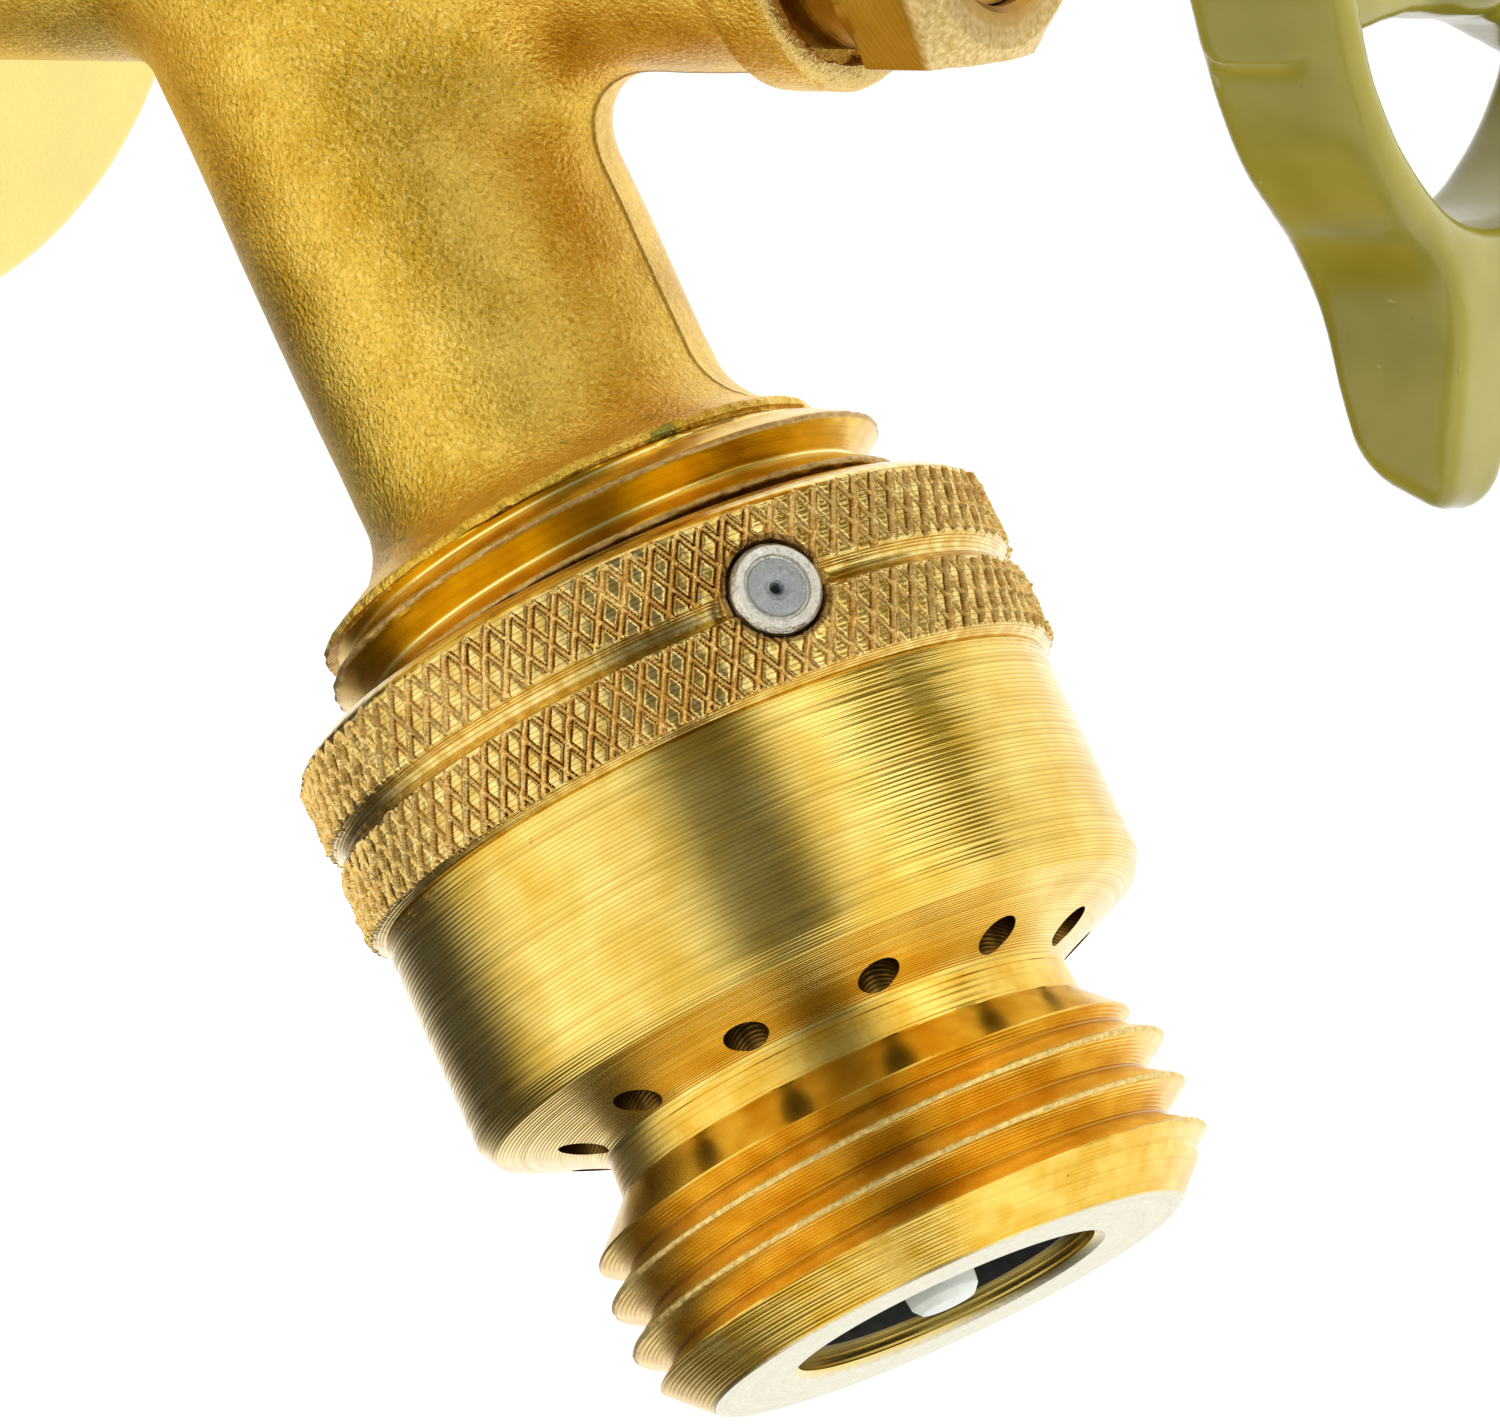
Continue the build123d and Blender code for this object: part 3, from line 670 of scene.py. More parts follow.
def cast_field(points):
    """Distance to the casting: flange, barrel, collar, spout neck and shoulder."""
    v, u = round_axis(points, VALVE)
    r, s = round_axis(points, SPOUT)
    x, z = points[:, 0], points[:, 2]
    barrel = np.maximum(v - BARREL_R, u - 28.0)
    barrel = np.maximum(barrel, -27.0 - u)
    off = points - CROSSING + SIDE * 0.5
    neck_r = np.linalg.norm(off - (off @ SPOUT)[:, None] * SPOUT, axis=1)
    neck = np.maximum(np.maximum(neck_r - NECK_R, s - 33.0), -s)
    edge = shoulder_edge(spout_angle(points)) - 0.35
    cone = (r - 9.0) * 0.526 - (s - CONE_START) * 0.851
    shoulder = np.maximum(np.maximum(cone, r - edge), s - 34.6)
    spout = round_union(neck, shoulder, 1.8)
    front = (points - CROSSING) @ SIDE
    body = round_union(barrel, spout, 3.0 + 1.6 * np.tanh(front / 5.0))
    share = np.hypot(x / FLANGE_WIDE, z / FLANGE_HIGH)
    steep = np.maximum(np.hypot(x / FLANGE_WIDE**2, z / FLANGE_HIGH**2), 1e-6)
    oval = share * (share - 1) / steep
    flange = rounded_slab(oval, u + 25.5, 2.5, 1.0)
    body = round_union(body, flange, 4.0)
    collar = rounded_slab(v - COLLAR_R, u - 27.9, 1.6, 0.45)
    body = round_union(body, collar, 0.7)
    recess = np.maximum(v - RECESS_R, 28.2 - u)
    body = np.maximum(body, -recess)
    for side in (-1, 1):
        hole = np.hypot(x - side * HOLE_X, z) - HOLE_R
        body = np.maximum(body, -hole)
    nipple_hole = np.maximum(v - 9.6, u + 26.0)
    return np.maximum(body, -nipple_hole)


def cast_detail(points):
    """The casting with its uneven skin, parting line and ragged edges."""
    v, u = round_axis(points, VALVE)
    r, s = round_axis(points, SPOUT)
    skin = 0.055 * value_noise(points, 5.0, 3) + 0.018 * value_noise(points, 2.0, 5)
    skin = skin + 0.010 * value_noise(points, 0.9, 7)
    ragged = np.exp(-(((s - 33.6) / 0.7) ** 2)) * (r > 10.5)
    skin = skin + 0.06 * ragged * value_noise(points, 1.5, 11)
    lip = np.exp(-(((u - 28.6) / 0.9) ** 2)) * (v > 8.9)
    skin = skin + 0.07 * lip * value_noise(points, 1.3, 13)
    outside = np.clip((s - 11.0) / 4.0, 0, 1)
    seam = 0.11 * np.exp(-((points[:, 0] / 0.36) ** 2)) * outside * (s < 32.5) * (u < 25.5)
    smooth = np.clip((-19.0 - u) / 3.0, 0, 1)
    return cast_field(points) + skin * (1 - 0.6 * smooth) - seam


VOXEL = 0.42
low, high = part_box("valve_body")
points, faces = surface(cast_field, cast_detail, (-29.3, -58.6, -39.0), (29.3, 0.8, 22.3), VOXEL)
points[:, 0] = np.clip(points[:, 0], low.x / MM, high.x / MM)
points[:, 1] = np.minimum(points[:, 1], 0.0)
new_piece("casting", points, faces, cast_brass, "valve", "cast_brass", "valve_body", sharp=60, weld=False)


def shoulder_rim():
    """The torn edge of the cast shoulder, where the turning stopped."""
    cols = 720
    angle = angles(cols)
    edge = shoulder_edge(angle)
    middle = spout_point(edge, np.full(cols, 34.0), angle)
    torn = 0.10 * value_noise(middle, 0.45, 81) + 0.08 * value_noise(middle, 1.6, 83)
    rows_r = [edge - back for back in (1.15, 0.75, 0.35)]
    rows_r += [edge - 0.08 + 0.5 * torn, edge + torn, edge - 0.02 + torn, edge - 0.3]
    rows_s = []
    for radius, drop in zip(rows_r, (0.05, -0.03, -0.07, -0.08, 0.05, 0.28, 0.40)):
        rows_s.append(CONE_START + CONE_RISE * (np.minimum(radius, edge) - 9.0) + drop)
    rows_r.append(edge - 1.15)
    rows_s.append(rows_s[-1] - 0.2)
    points = spout_point(np.array(rows_r), np.array(rows_s), full_grid(angle, len(rows_r))).reshape(-1, 3)
    points = points + SPOUT * (0.03 * value_noise(points, 0.7, 85))[:, None]
    return points, ring_faces(len(rows_r), cols)


new_piece("shoulder_rim", *shoulder_rim(), cast_brass, "valve", "cast_brass", "valve_body", sharp=50)


# ---------------- threads
CREST_FLAT, ROOT_FLAT = 0.09, 0.08                # half of each


def thread_radius(s, a, start):
    """Radius of the hose thread with a crest at `start` on the near side, and its wear and shading value."""
    centre = start - PITCH * (a - NEAR) / 360.0
    away = np.abs((s - centre + PITCH / 2) % PITCH - PITCH / 2)
    slope = np.clip((away - CREST_FLAT) / (PITCH / 2 - CREST_FLAT - ROOT_FLAT), 0, 1)
    return HOSE_CREST - THREAD_DEPTH * slope, 1 - slope


def envelope(s, stops):
    """Radius of the turned blank at s."""
    return np.interp(s, [p[1] for p in stops], [p[0] for p in stops])


def threaded(stops, start, burr, seed, fade=1e9):
    """A radius function of a thread cut into a turned blank, and its wear and shading values."""
    def cut(s, a):
        radius, top = thread_radius(s, a, start)
        kept = np.clip((s - fade) / 0.9, 0, 1)
        return radius + (HOSE_CREST - radius) * kept, top + (0.5 - top) * kept

    def radius_at(s, a):
        radius, top = cut(s, a)
        near_top = np.clip((top - 0.84) / 0.16, 0, 1)
        place = spout_point(radius, s, a).reshape(-1, 3)
        ragged = value_noise(place, 0.45, seed) + 0.7 * value_noise(place, 1.5, seed + 1)
        radius = radius + burr * near_top * np.minimum(ragged.reshape(s.shape), 0.3)
        return np.minimum(radius, envelope(s, stops))

    def wear_and_shading_at(s, a):
        radius, top = cut(s, a)
        return np.where(radius > envelope(s, stops) + 0.02, 0.5, top)

    return radius_at, wear_and_shading_at


body_blank = [(10.9, 33.75), (12.0, 34.25), (12.45, 34.45), (13.45, 35.0), (13.45, 44.1), (11.9, 45.0)]
radius_at, wear_and_shading_at = threaded(body_blank, 35.65, 0.13, 21)
points, faces, s, a = thread_grid(radius_at, spout_point, 33.75, 45.0)
top = turned([(10.9, 33.75), (8.0, 33.75), (8.0, 33.6)], spout_point, 0.0, cols=288, closed=False)
end = turned([(11.9, 45.0), (5.6, 45.0), (5.6, 30.0)], spout_point, 0.0, cols=288, closed=False)
wear_and_shading = np.concatenate([wear_and_shading_at(s, a).ravel(), np.full(len(top[0]) + len(end[0]), 0.5)])
new_piece("spout_thread", *joined((points, faces), top, end), body_thread_brass, "valve", "cast_brass",
          "valve_body", sharp=28, values=wear_and_shading)


def nipple_radius(along, angle):
    """Radius of the inlet nipple's tapered pipe thread."""
    centre = -PIPE_PITCH * angle / 360.0
    away = np.abs((along - centre + PIPE_PITCH / 2) % PIPE_PITCH - PIPE_PITCH / 2)
    slope = np.clip((away - 0.08) / (PIPE_PITCH / 2 - 0.18), 0, 1)
    taper = (along + 48.0) / 32.0
    blank = np.interp(along, [-48.0, -46.8, -31.0, -29.5], [9.45, 10.65, 10.65, 9.9])
    return np.minimum(10.65 - 0.35 + 0.5 * taper - 1.1 * slope, blank)


points, faces, s, a = thread_grid(nipple_radius, valve_point, -48.0, -29.5, PIPE_PITCH, 16, 192)
tail = turned([(9.45, -48.0), (5.9, -48.0), (5.6, -47.7), (5.6, -20.0)], valve_point, 0.0, closed=False)
root = turned([(9.9, -29.5), (9.9, -26.0)], valve_point, 0.0, closed=False)
wear_and_shading = np.concatenate([np.full(len(points), 0.5), np.full(len(tail[0]) + len(root[0]), 0.6)])
new_piece("inlet_nipple", *joined((points, faces), tail, root), body_thread_brass, "valve", "cast_brass",
          "valve_body", sharp=28, values=wear_and_shading)


# ---------------- bonnet
def hexagon(half, corner, angle, turn):
    """Radius of a hexagon with its corners turned down to a circle."""
    local = (angle - turn + 30) % 60 - 30
    return np.minimum(half / np.cos(np.radians(local)), corner)


HEX_HALF, HEX_CORNER, HEX_TURN = 8.5, 9.82, 90 - 6.3
BONNET_TORN = 36.1                                # where the torn chamfer is


def bonnet_surface():
    """The nut with its torn chamfer and the bores through it, and its wear."""
    cols = 360
    flat = hexagon(HEX_HALF, HEX_CORNER, angles(cols), HEX_TURN)
    rows = [
        (31.9, 8.6), (31.95, 8.75), (32.5, 9.75), (32.7, 10.5), (33.5, 10.5), (34.4, 10.5), (35.3, 10.5),
        (35.5, 9.9), (35.7, 9.5), (35.9, 9.15), (36.2, 8.8), (36.5, 8.45), (36.8, 8.1), (36.9, 7.9),
    ]
    radii = [np.minimum(flat, limit) for _, limit in rows]
    places = [np.full(cols, u) for u, _ in rows]
    inner = [(6.35, 36.9), (6.05, 36.6), (6.0, 30.0), (4.25, 30.0), (4.25, 28.8), (5.3, 28.5), (5.3, 20.0)]
    inner += [(6.95, 20.0), (7.5, 20.6), (7.5, 28.25), (8.0, 28.25), (8.0, 31.9), (8.6, 31.9)]
    for r, u in inner:
        radii.append(np.full(cols, r))
        places.append(np.full(cols, u))
    r, u = np.array(radii), np.array(places)
    points = valve_point(r, u, full_grid(angles(cols), len(r))).reshape(-1, 3)
    rough = np.exp(-(((u.ravel() - BONNET_TORN) / 0.6) ** 2))
    torn = np.clip((u - 35.35) / 0.3, 0, 1) * (r > 7.0)
    outward = points - CROSSING - ((points - CROSSING) @ VALVE)[:, None] * VALVE
    outward /= np.maximum(np.linalg.norm(outward, axis=1, keepdims=True), 1e-6)
    points = points + outward * (0.05 * rough * value_noise(points, 0.8, 31))[:, None]
    return points, ring_faces(len(r), cols), torn.ravel()


points, faces, torn = bonnet_surface()
new_piece("bonnet_nut", points, faces, valve_brass, "valve", "turned_brass", "bonnet", sharp=24, values=torn)


# ---------------- handwheel
RIM_R, RIM_HALF = 16.25, 1.1
LOBE_END, LOBE_ROUND = 27.0, 1.6
HUB_R, SHAFT_R, COUNTERBORE_R = 6.15, 2.3, 4.0
COUNTERBORE_END = 52.0


def wheel_field(points):
    """Distance to the handwheel: rim, lobes, spokes and hub."""
    x, z = points[:, 0], points[:, 2]
    u = -(points[:, 1] - CROSSING[1])
    r = np.hypot(x, z)
    rim = np.abs(r - RIM_R) - RIM_HALF
    angle = np.degrees(np.arctan2(z, x))
    local = np.radians((angle + 45) % 90 - 45)
    along, across = r * np.cos(local), np.abs(r * np.sin(local))
    half = np.interp(along, [14.0, 17.0, 24.5, 27.0], [4.9, 4.3, 3.1, 2.5])
    lobe = np.maximum(across - half, along - LOBE_END)
    tip = LOBE_END - 0.45 * np.maximum(59.0 - u, 0)
    past_side, past_tip = across - half + LOBE_ROUND, along - tip + LOBE_ROUND
    corner = np.hypot(np.maximum(past_side, 0), np.maximum(past_tip, 0)) - LOBE_ROUND
    lobe = np.maximum(np.maximum(lobe, corner), 14.6 - along)
    outline = round_union(rim, lobe, 3.2)
    outline = np.maximum(outline, RIM_R - RIM_HALF - r)
    thick = np.interp(r, [17.5, 22.0, 27.0], [3.6, 2.95, 1.85])
    level = np.interp(r, [17.5, 22.0, 27.0], [57.7, 57.85, 58.15])
    ring = rounded_slab(outline, u - level, thick, 1.15)
    beam_half = np.interp(np.abs(x), [0.0, 5.0, 15.8], [6.0, 6.4, 8.6])
    beam = np.maximum(np.abs(z) - beam_half, np.abs(x) - 15.8)
    spokes = rounded_slab(beam, u - 57.1, 2.05, 0.9)
    body = smooth_min(ring, spokes, 1.4)
    hub = rounded_slab(r - HUB_R, u - 55.3, 4.65, 0.7)
    body = smooth_min(body, hub, 1.0)
    body = np.maximum(body, -np.maximum(r - SHAFT_R, COUNTERBORE_END - u))
    return np.maximum(body, -np.maximum(r - COUNTERBORE_R, u - COUNTERBORE_END))


def wheel_detail(points):
    """The handwheel with its uneven cast surface."""
    return wheel_field(points) + 0.07 * value_noise(points, 4.5, 41) + 0.03 * value_noise(points, 1.8, 43)


WHEEL_VOXEL = 0.36
points, faces = surface(wheel_field, wheel_detail, (-27.8, -90.2, -27.8), (27.8, -78.0, 27.8), WHEEL_VOXEL)
new_piece("handwheel_paint", points, faces, olive_enamel, "wheel_and_stem", "olive_paint", "handwheel",
          sharp=75, weld=False)


# ---------------- vacuum breaker, knurled part
TEETH = 90
KNURL_R = 16.45
SLANT = math.radians(29)
SCREW_ALONG, SCREW_ANGLE = 43.2, 50.0             # the set screw's place in the groove
POCKET_R = 2.22
BARREL_TOP = 47.45
KNURL_BLANK = [
    (13.6, 38.2), (14.2, 38.3), (15.1, 38.55), (15.75, 38.85), (16.15, 39.15), (16.4, 39.45), (16.5, 39.8),
    (16.5, 42.55), (16.2, 42.7), (15.92, 42.95), (15.85, 43.2), (15.92, 43.45), (16.2, 43.7), (16.5, 43.85),
    (16.5, 47.0), (16.2, 47.2), (15.86, BARREL_TOP),
]


def knurl_radius(s, a):
    """Radius and wear and shading value over the two knurled bands, with the screw's pocket, whose low value
    paints it dark as shade.
    """
    around = a / 360.0 * TEETH
    slant = (s - 37.0) * math.tan(SLANT) * TEETH / (2 * math.pi * KNURL_R)
    place = spout_point(np.full(s.shape, KNURL_R), s, a).reshape(-1, 3)
    loose, uneven, edge, grain = (
        value_noise(place, size, seed).reshape(s.shape)
        for size, seed in ((0.6, 51), (2.4, 57), (0.5, 59), (0.35, 53))
    )
    edge = 0.22 * edge
    first = 1 - np.abs((around + slant + 0.05 * uneven) % 1.0 - 0.5) * 2
    second = 1 - np.abs((around - slant + 0.3 + 0.05 * uneven) % 1.0 - 0.5) * 2
    ridge_a = np.exp(-((first / 0.19) ** 2)) * (1 + 0.6 * loose)
    ridge_b = np.exp(-((second / 0.11) ** 2)) * (0.75 + 0.4 * loose)
    nearest = np.minimum(first - 0.05, second)
    trench = np.exp(-(((nearest - 0.24) / 0.09) ** 2)) * (1 + 0.4 * uneven)
    upper = np.clip((s - 39.35 - edge) / 0.3, 0, 1) * (1 - np.clip((s - 42.5 - edge) / 0.15, 0, 1))
    lower = np.clip((s - 43.85 - edge) / 0.12, 0, 1) * (1 - np.clip((s - 47.0 - 0.5 * edge) / 0.15, 0, 1))
    band = upper + lower
    height = 0.18 * ridge_a + 0.08 * ridge_b - 0.14 * trench + 0.02 * grain
    radius = np.minimum(KNURL_R - 0.09, envelope(s, KNURL_BLANK)) + band * height
    lines = np.clip(np.maximum(ridge_a, ridge_b), 0, 1)
    # low values in the trenches paint them dark as shade
    wear_and_shading = 0.85 - 0.85 * np.clip(trench, 0, 1)
    wear_and_shading = wear_and_shading + (0.5 - wear_and_shading) * np.clip(lines * 1.5 - 0.35, 0, 1)
    wear_and_shading = np.where(band > 0.3, wear_and_shading, 1.0)
    from_screw = np.hypot(np.radians(a - SCREW_ANGLE) * KNURL_R, s - SCREW_ALONG)
    bent = np.exp(-(((from_screw - 2.5) / 0.28) ** 2))
    radius = radius + bent * 0.10 * (1 + loose)
    radius = np.where(from_screw < 2.45, np.maximum(radius, 16.2), radius)
    pocket = np.clip((POCKET_R - from_screw) / 0.12, 0, 1)
    # the pocket's value of 0.2 paints it dark as shade
    return radius * (1 - pocket) + 15.2 * pocket, np.where(from_screw < 2.5, 0.2, wear_and_shading)


cols = 1440
rows_at = np.concatenate(
    [np.linspace(38.2, 39.2, 9), np.linspace(39.3, BARREL_TOP, 116)])
s = rows_at[:, None] + np.zeros(cols)
a = full_grid(angles(cols), len(rows_at))
radius, wear_and_shading = knurl_radius(s, a)
skin = spout_point(radius, s, a).reshape(-1, 3)
inner_r, inner_s = (
    np.array(column)[:, None] + np.zeros(cols)
    for column in ((15.86, 13.6, 13.58, 13.6), (BARREL_TOP, BARREL_TOP, 38.4, 38.2))
)
inner_r[0], inner_r[-1] = radius[-1], radius[0]
inner = spout_point(inner_r, inner_s, full_grid(angles(cols), 4)).reshape(-1, 3)
points, faces = joined((skin, ring_faces(len(rows_at), cols)), (inner, ring_faces(4, cols)))
new_piece("breaker_knurl", points, faces, knurled_brass, "valve", "turned_brass", "breaker_body",
          sharp=50, values=np.concatenate([wear_and_shading.ravel(), np.full(len(inner), 1.0)]))


# ---------------- vacuum breaker, barrel with vents
BARREL_SHARP = 35
VENTS, VENT_TURN, VENT_AWAY, VENT_R, VENT_SIDES = 12, 13.4, 12.0, 1.0, 28
barrel = turned(
    [
        (15.875, 47.40), (15.875, 57.25), (15.35, 58.1), (11.3, 59.88), (10.9, 60.15), (10.9, 60.6),
        (9.6, 60.6), (9.6, 55.0), (12.2, 55.0), (12.2, 50.6), (12.8, 50.6), (12.8, 47.40),
    ],
    spout_point, 0.25, cols=256,
)
breaker_barrel = new_piece("breaker_barrel", *barrel, turned_brass, "valve", "turned_brass", "breaker_body",
                           sharp=BARREL_SHARP)


def cut_away(piece, points, faces):
    """Takes a closed shape out of a piece; its cut walls get the dark vent colour, painted shade inside the
    holes.
    """
    mesh = bpy.data.meshes.new("cutter")
    mesh.from_pydata((points * MM).tolist(), [], faces)
    mesh.update()
    mesh.materials.append(vent_shade_brass)
    tool = bpy.data.objects.new("cutter", mesh)
    bpy.context.scene.collection.objects.link(tool)
    step = piece.modifiers.new("cut", "BOOLEAN")
    step.operation, step.object, step.solver = "DIFFERENCE", tool, "EXACT"
    # the cut walls take the cutter's dark material, painted shade inside the vents
    step.material_mode = "TRANSFER"
    bpy.context.view_layer.update()
    made = bpy.data.meshes.new_from_object(piece.evaluated_get(bpy.context.evaluated_depsgraph_get()))
    piece.modifiers.clear()
    piece.data = made
    bpy.data.objects.remove(tool)
    made.shade_smooth()
    made.set_sharp_from_angle(angle=math.radians(BARREL_SHARP))


def drill_bits():
    """The vent drills, round the spout axis."""
    points, faces = [], []
    for k in range(VENTS):
        turn = math.radians(VENT_TURN + 360.0 / VENTS * k)
        out = -RIGHT * math.cos(turn) + SIDE * math.sin(turn)
        across = np.cross(SPOUT, out)
        near = len(points)
        far = near + VENT_SIDES
        for along in (54.0, 62.0):
            for j in range(VENT_SIDES):
                t = 2 * math.pi * j / VENT_SIDES
                offset = out * (VENT_AWAY + VENT_R * math.cos(t)) + across * VENT_R * math.sin(t)
                points.append(CROSSING + SPOUT * along + offset)
        for j in range(VENT_SIDES):
            after = (j + 1) % VENT_SIDES
            faces.append((near + j, near + after, far + after, far + j))
        faces.append(tuple(reversed(range(near, far))))
        faces.append(tuple(range(far, far + VENT_SIDES)))
    return np.array(points), faces


cut_away(breaker_barrel, *drill_bits())

# ---------------- vacuum breaker, outlet
outlet_blank = [(10.88, 60.2), (11.0, 62.0), (13.1, 64.1), (13.45, 64.6), (13.45, 69.75), (11.25, 71.95)]
radius_at, wear_and_shading_at = threaded(outlet_blank, 65.7, 0.05, 61, fade=70.2)
points, faces, s, a = thread_grid(radius_at, spout_point, 60.2, 71.95)
new_piece("outlet_thread", points, faces, outlet_thread_brass, "valve", "turned_brass", "breaker_body",
          sharp=26, values=wear_and_shading_at(s, a).ravel())
nose = turned(
    [(11.25, 71.95), (11.15, 72.05), (7.45, 72.05), (7.08, 71.75), (7.08, 55.4), (9.6, 55.4), (9.6, 60.2),
     (10.88, 60.2)],
    spout_point, 0.0, cols=288, closed=False,
)
# the end face gets the pale skin, partly a painted reflection
on_face = ((nose[0] - CROSSING) @ SPOUT > 72.04).astype(float)
new_piece("outlet_tube", *nose, face_brass, "valve", "turned_brass", "breaker_body", sharp=26, values=on_face)

# ---------------- set screw stub
screw_turn = math.radians(SCREW_ANGLE)
screw_out = -RIGHT * math.cos(screw_turn) + SIDE * math.sin(screw_turn)
screw_across = np.cross(screw_out, SPOUT)
screw_middle = CROSSING + SPOUT * SCREW_ALONG
screw_point = around(screw_middle, screw_out, SPOUT, screw_across)
points, faces = turned(
    [(0.0, 13.55), (2.05, 13.55), (2.05, 16.35), (1.85, 16.68), (1.5, 16.62), (1.44, 16.42),
     (1.34, 16.40), (1.28, 16.58), (0.62, 16.62), (0.34, 16.50), (0.12, 16.16), (0.0, 16.12)],
    screw_point, 0.05, cols=96, closed=False,
)
face_zone = (points - screw_middle) @ screw_out > 16.3
points = points + screw_out * (0.035 * value_noise(points, 0.45, 71) * face_zone)[:, None]
away = points - screw_middle
away = np.linalg.norm(away - (away @ screw_out)[:, None] * screw_out, axis=1)
new_piece("set_screw_stub", points, faces, stub_steel, "valve", "zinc_steel", "breaker_set_screw",
          sharp=40, values=np.interp(away, [0.15, 0.42, 1.25, 1.45], [0.0, 0.45, 0.45, 1.0]))

# ---------------- poppet
poppet = turned(
    [(0.0, 50.7), (3.1, 50.7), (3.1, 51.5), (5.8, 51.5), (5.8, 52.8), (1.65, 53.4), (1.65, 71.0),
     (1.58, 71.6), (1.25, 71.98), (0.6, 72.08), (0.0, 72.1)],
    spout_point, 0.15, cols=96, closed=False,
)
new_piece("poppet_plastic", *poppet, white_acetal, "poppet", "white_acetal", "poppet", sharp=35)

# ---------------- materials of the pieces kept from the frame
kept = (
    (valve_brass, "turned_brass", ("valve_seat", "disc_holder", "stem", "packing_washer", "packing_gland")),
    (turned_brass, "turned_brass", ("diaphragm_retainer",)),
    (black_rubber, "black_rubber", ("seat_washer", "hose_gasket", "diaphragm", "poppet_seal")),
    (zinc_steel, "zinc_steel", ("seat_washer_screw", "handle_washer", "handle_screw")),
    (spring_steel, "spring_steel", ("poppet_spring",)),
    (fibre, "fibre", ("bonnet_gasket",)),
    (graphite, "graphite_packing", ("stem_packing",)),
    (black_acetal, "black_acetal", ("poppet_guide",)),
)
for material, slot, names in kept:
    for name in names:
        node = nodes[name]
        node.data.materials.clear()
        node.data.materials.append(material)

# ---------------- studio
scene = bpy.context.scene
scene.view_settings.view_transform = "Standard"

TENT_R, TENT_GLOW = 0.7, 1.35
WORLD_GLOW, KEY_ENERGY = 1.1, 3.0
FLOOR_LEVEL, FLOOR_HALF = -0.105, 3

world = bpy.data.worlds.new("studio")
scene.world = world
world.use_nodes = True
sky = world.node_tree.nodes["Background"]
sky.inputs["Color"].default_value = (1, 1, 1, 1)
sky.inputs["Strength"].default_value = WORLD_GLOW

floor_mesh = bpy.data.meshes.new("floor")
corners = [(FLOOR_HALF * x, FLOOR_HALF * y, 0) for x, y in ((-1, -1), (1, -1), (1, 1), (-1, 1))]
floor_mesh.from_pydata(corners, [], [(0, 1, 2, 3)])
floor = bpy.data.objects.new("floor", floor_mesh)
floor.location = (0, 0, FLOOR_LEVEL)
scene.collection.objects.link(floor)
floor_look = Shader("floor")
floor_tone = floor_look.mix(floor_look.noise(400.0), (0.93, 0.93, 0.93), (0.95, 0.95, 0.95))
floor_look.set(Base_Color=floor_tone, Roughness=0.9)
floor_mesh.materials.append(floor_look.material)
floor.visible_glossy = False


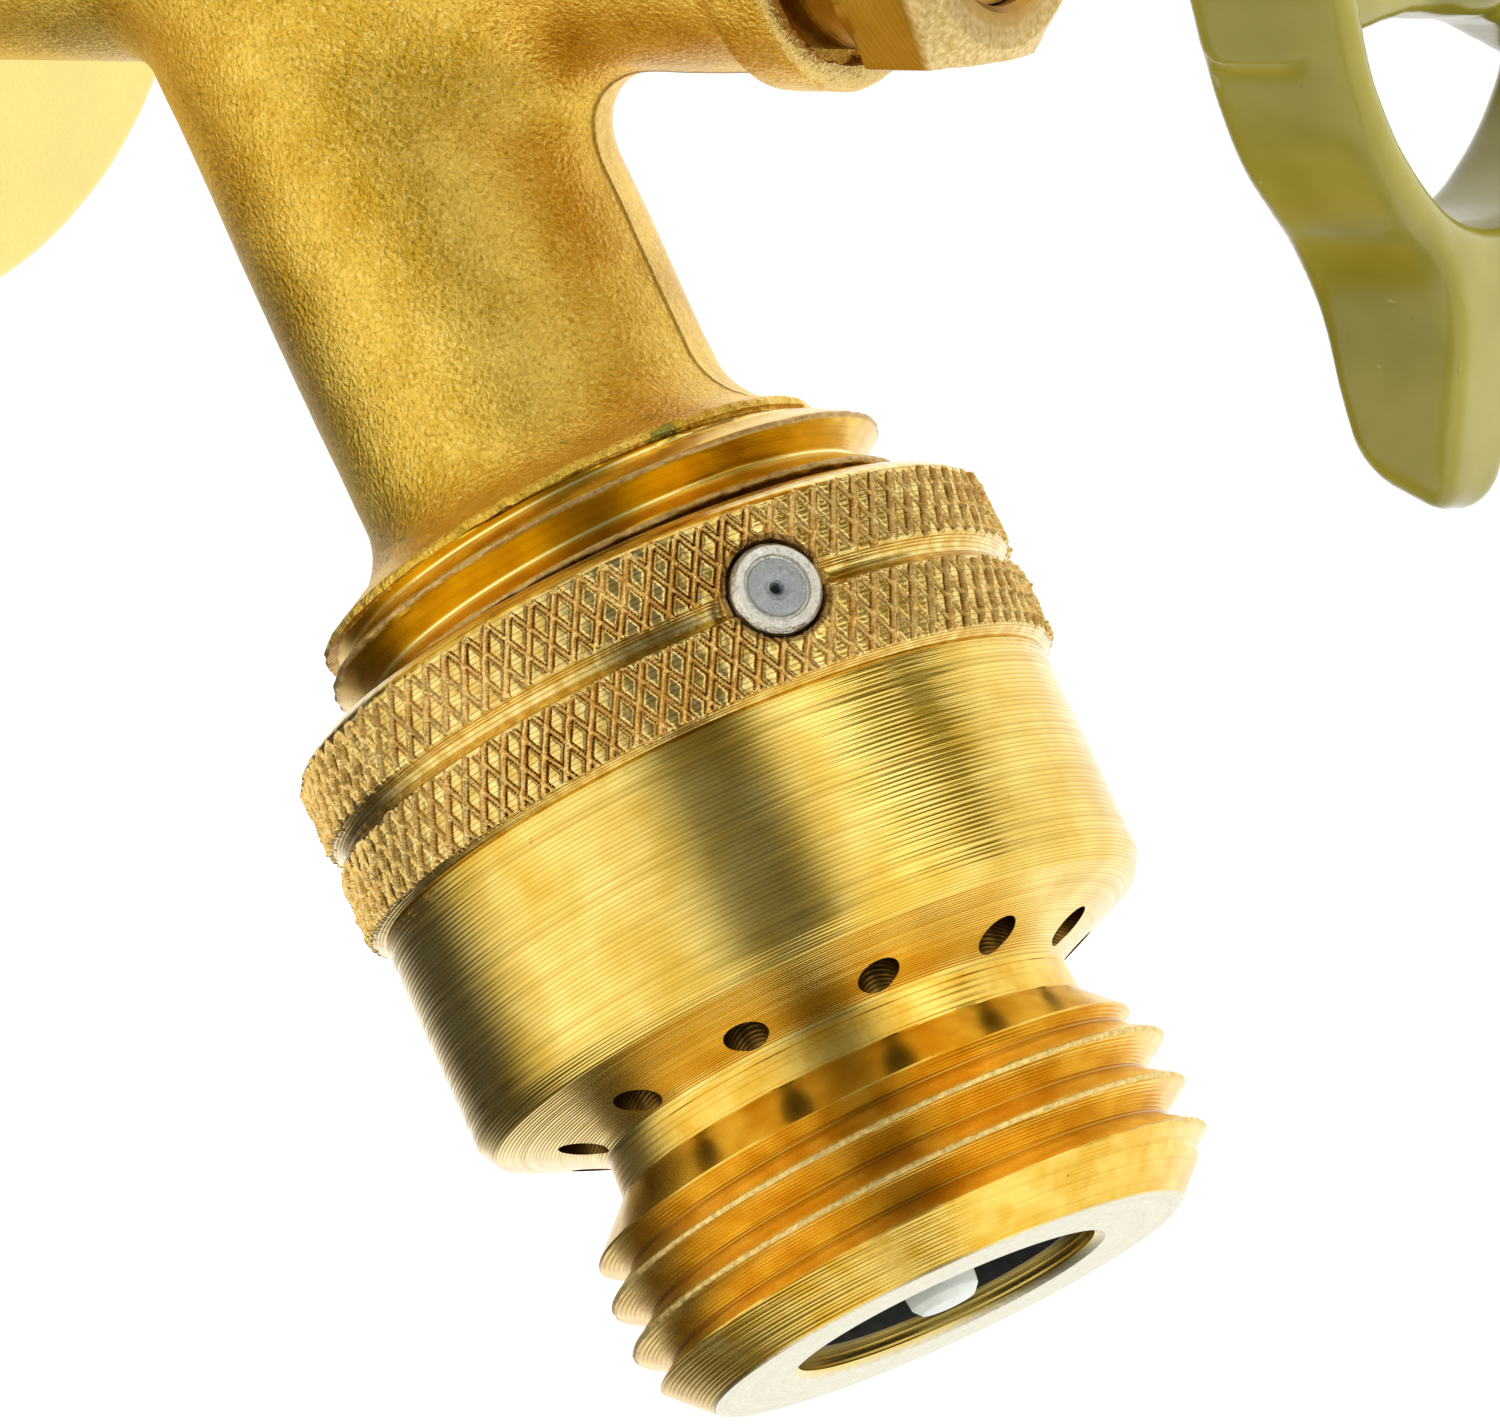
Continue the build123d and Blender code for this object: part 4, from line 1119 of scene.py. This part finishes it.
def light_tent():
    """Soft boxes and dark flags as one shell that only reflections see."""
    work = bmesh.new()
    bmesh.ops.create_uvsphere(work, u_segments=48, v_segments=24, radius=TENT_R)
    mesh = bpy.data.meshes.new("light_tent")
    work.to_mesh(mesh)
    work.free()
    tent = bpy.data.objects.new("light_tent", mesh)
    scene.collection.objects.link(tent)
    turn = math.radians(NEAR)
    toward = -RIGHT * math.cos(turn) + SIDE * math.sin(turn)
    across = np.cross(SPOUT, toward)
    basis = Matrix([(toward[k], across[k], SPOUT[k]) for k in range(3)]).to_4x4()
    middle = (CROSSING + SPOUT * 50.0) * MM
    tent.matrix_world = Matrix.Translation(Vector(middle)) @ basis
    look = Shader("light_tent")
    part = look.node("ShaderNodeSeparateXYZ")
    look.link(look.place, part.inputs[0])
    turned_by = look.math("ARCTAN2", part.outputs["Y"], part.outputs["X"])
    share = look.span(turned_by, math.pi, -math.pi)
    stops = [
        (-180, 1.0), (-165, 1.0), (-152, 0.30), (-138, 0.05), (-112, 0.06), (-103, 0.30), (-94, 0.75),
        (-78, 1.0), (-50, 0.95), (-26, 0.85), (-16, 0.50), (-9, 0.18), (0, 0.15), (10, 0.10),
        (18, 0.22), (26, 0.80), (46, 1.2), (64, 1.1), (80, 0.84), (98, 0.84), (118, 0.95), (150, 1.0),
        (180, 1.0),
    ]
    shade = look.ramp(share, *[((at + 180) / 360.0, float(value)) for at, value in stops])
    glow = look.node("ShaderNodeEmission")
    look.link(shade, glow.inputs["Color"])
    glow.inputs["Strength"].default_value = TENT_GLOW
    look.link(glow.outputs[0], look.tree.nodes["Material Output"].inputs["Surface"])
    mesh.materials.append(look.material)
    look.material.cycles.emission_sampling = "NONE"
    tent.visible_camera = False
    tent.visible_diffuse = False
    tent.visible_shadow = False


light_tent()

key = bpy.data.objects.new("key", bpy.data.lights.new("key", "SUN"))
key.data.energy = KEY_ENERGY
key.data.angle = math.radians(40)
key.rotation_euler = Vector((0.35, -1.0, 0.45)).to_track_quat("Z", "Y").to_euler()
key.visible_glossy = False
scene.collection.objects.link(key)

# ---------------- camera
AZIMUTH, ELEVATION, ROLL = math.radians(-60.25), math.radians(2.846), math.radians(-1.422)
EYE = np.array([-366.7, -234.9, -16.15])          # from the crossing, in millimetres
flat = math.cos(ELEVATION)
back = np.array([math.sin(AZIMUTH) * flat, -math.cos(AZIMUTH) * flat, math.sin(ELEVATION)])
level = np.array([math.cos(AZIMUTH), math.sin(AZIMUTH), 0.0])
above = np.cross(back, level)
right = math.cos(ROLL) * level - math.sin(ROLL) * above
up = math.sin(ROLL) * level + math.cos(ROLL) * above
camera = bpy.data.objects.new("camera", bpy.data.cameras.new("camera"))
scene.collection.objects.link(camera)
camera.matrix_world = Matrix([(right[k], up[k], back[k]) for k in range(3)]).to_4x4()
camera.location = Vector((CROSSING + EYE) * MM)
camera.data.lens = 231.4
camera.data.sensor_width = 36.0
camera.data.dof.use_dof = False
camera.data.clip_start, camera.data.clip_end = 0.02, 20.0
scene.camera = camera
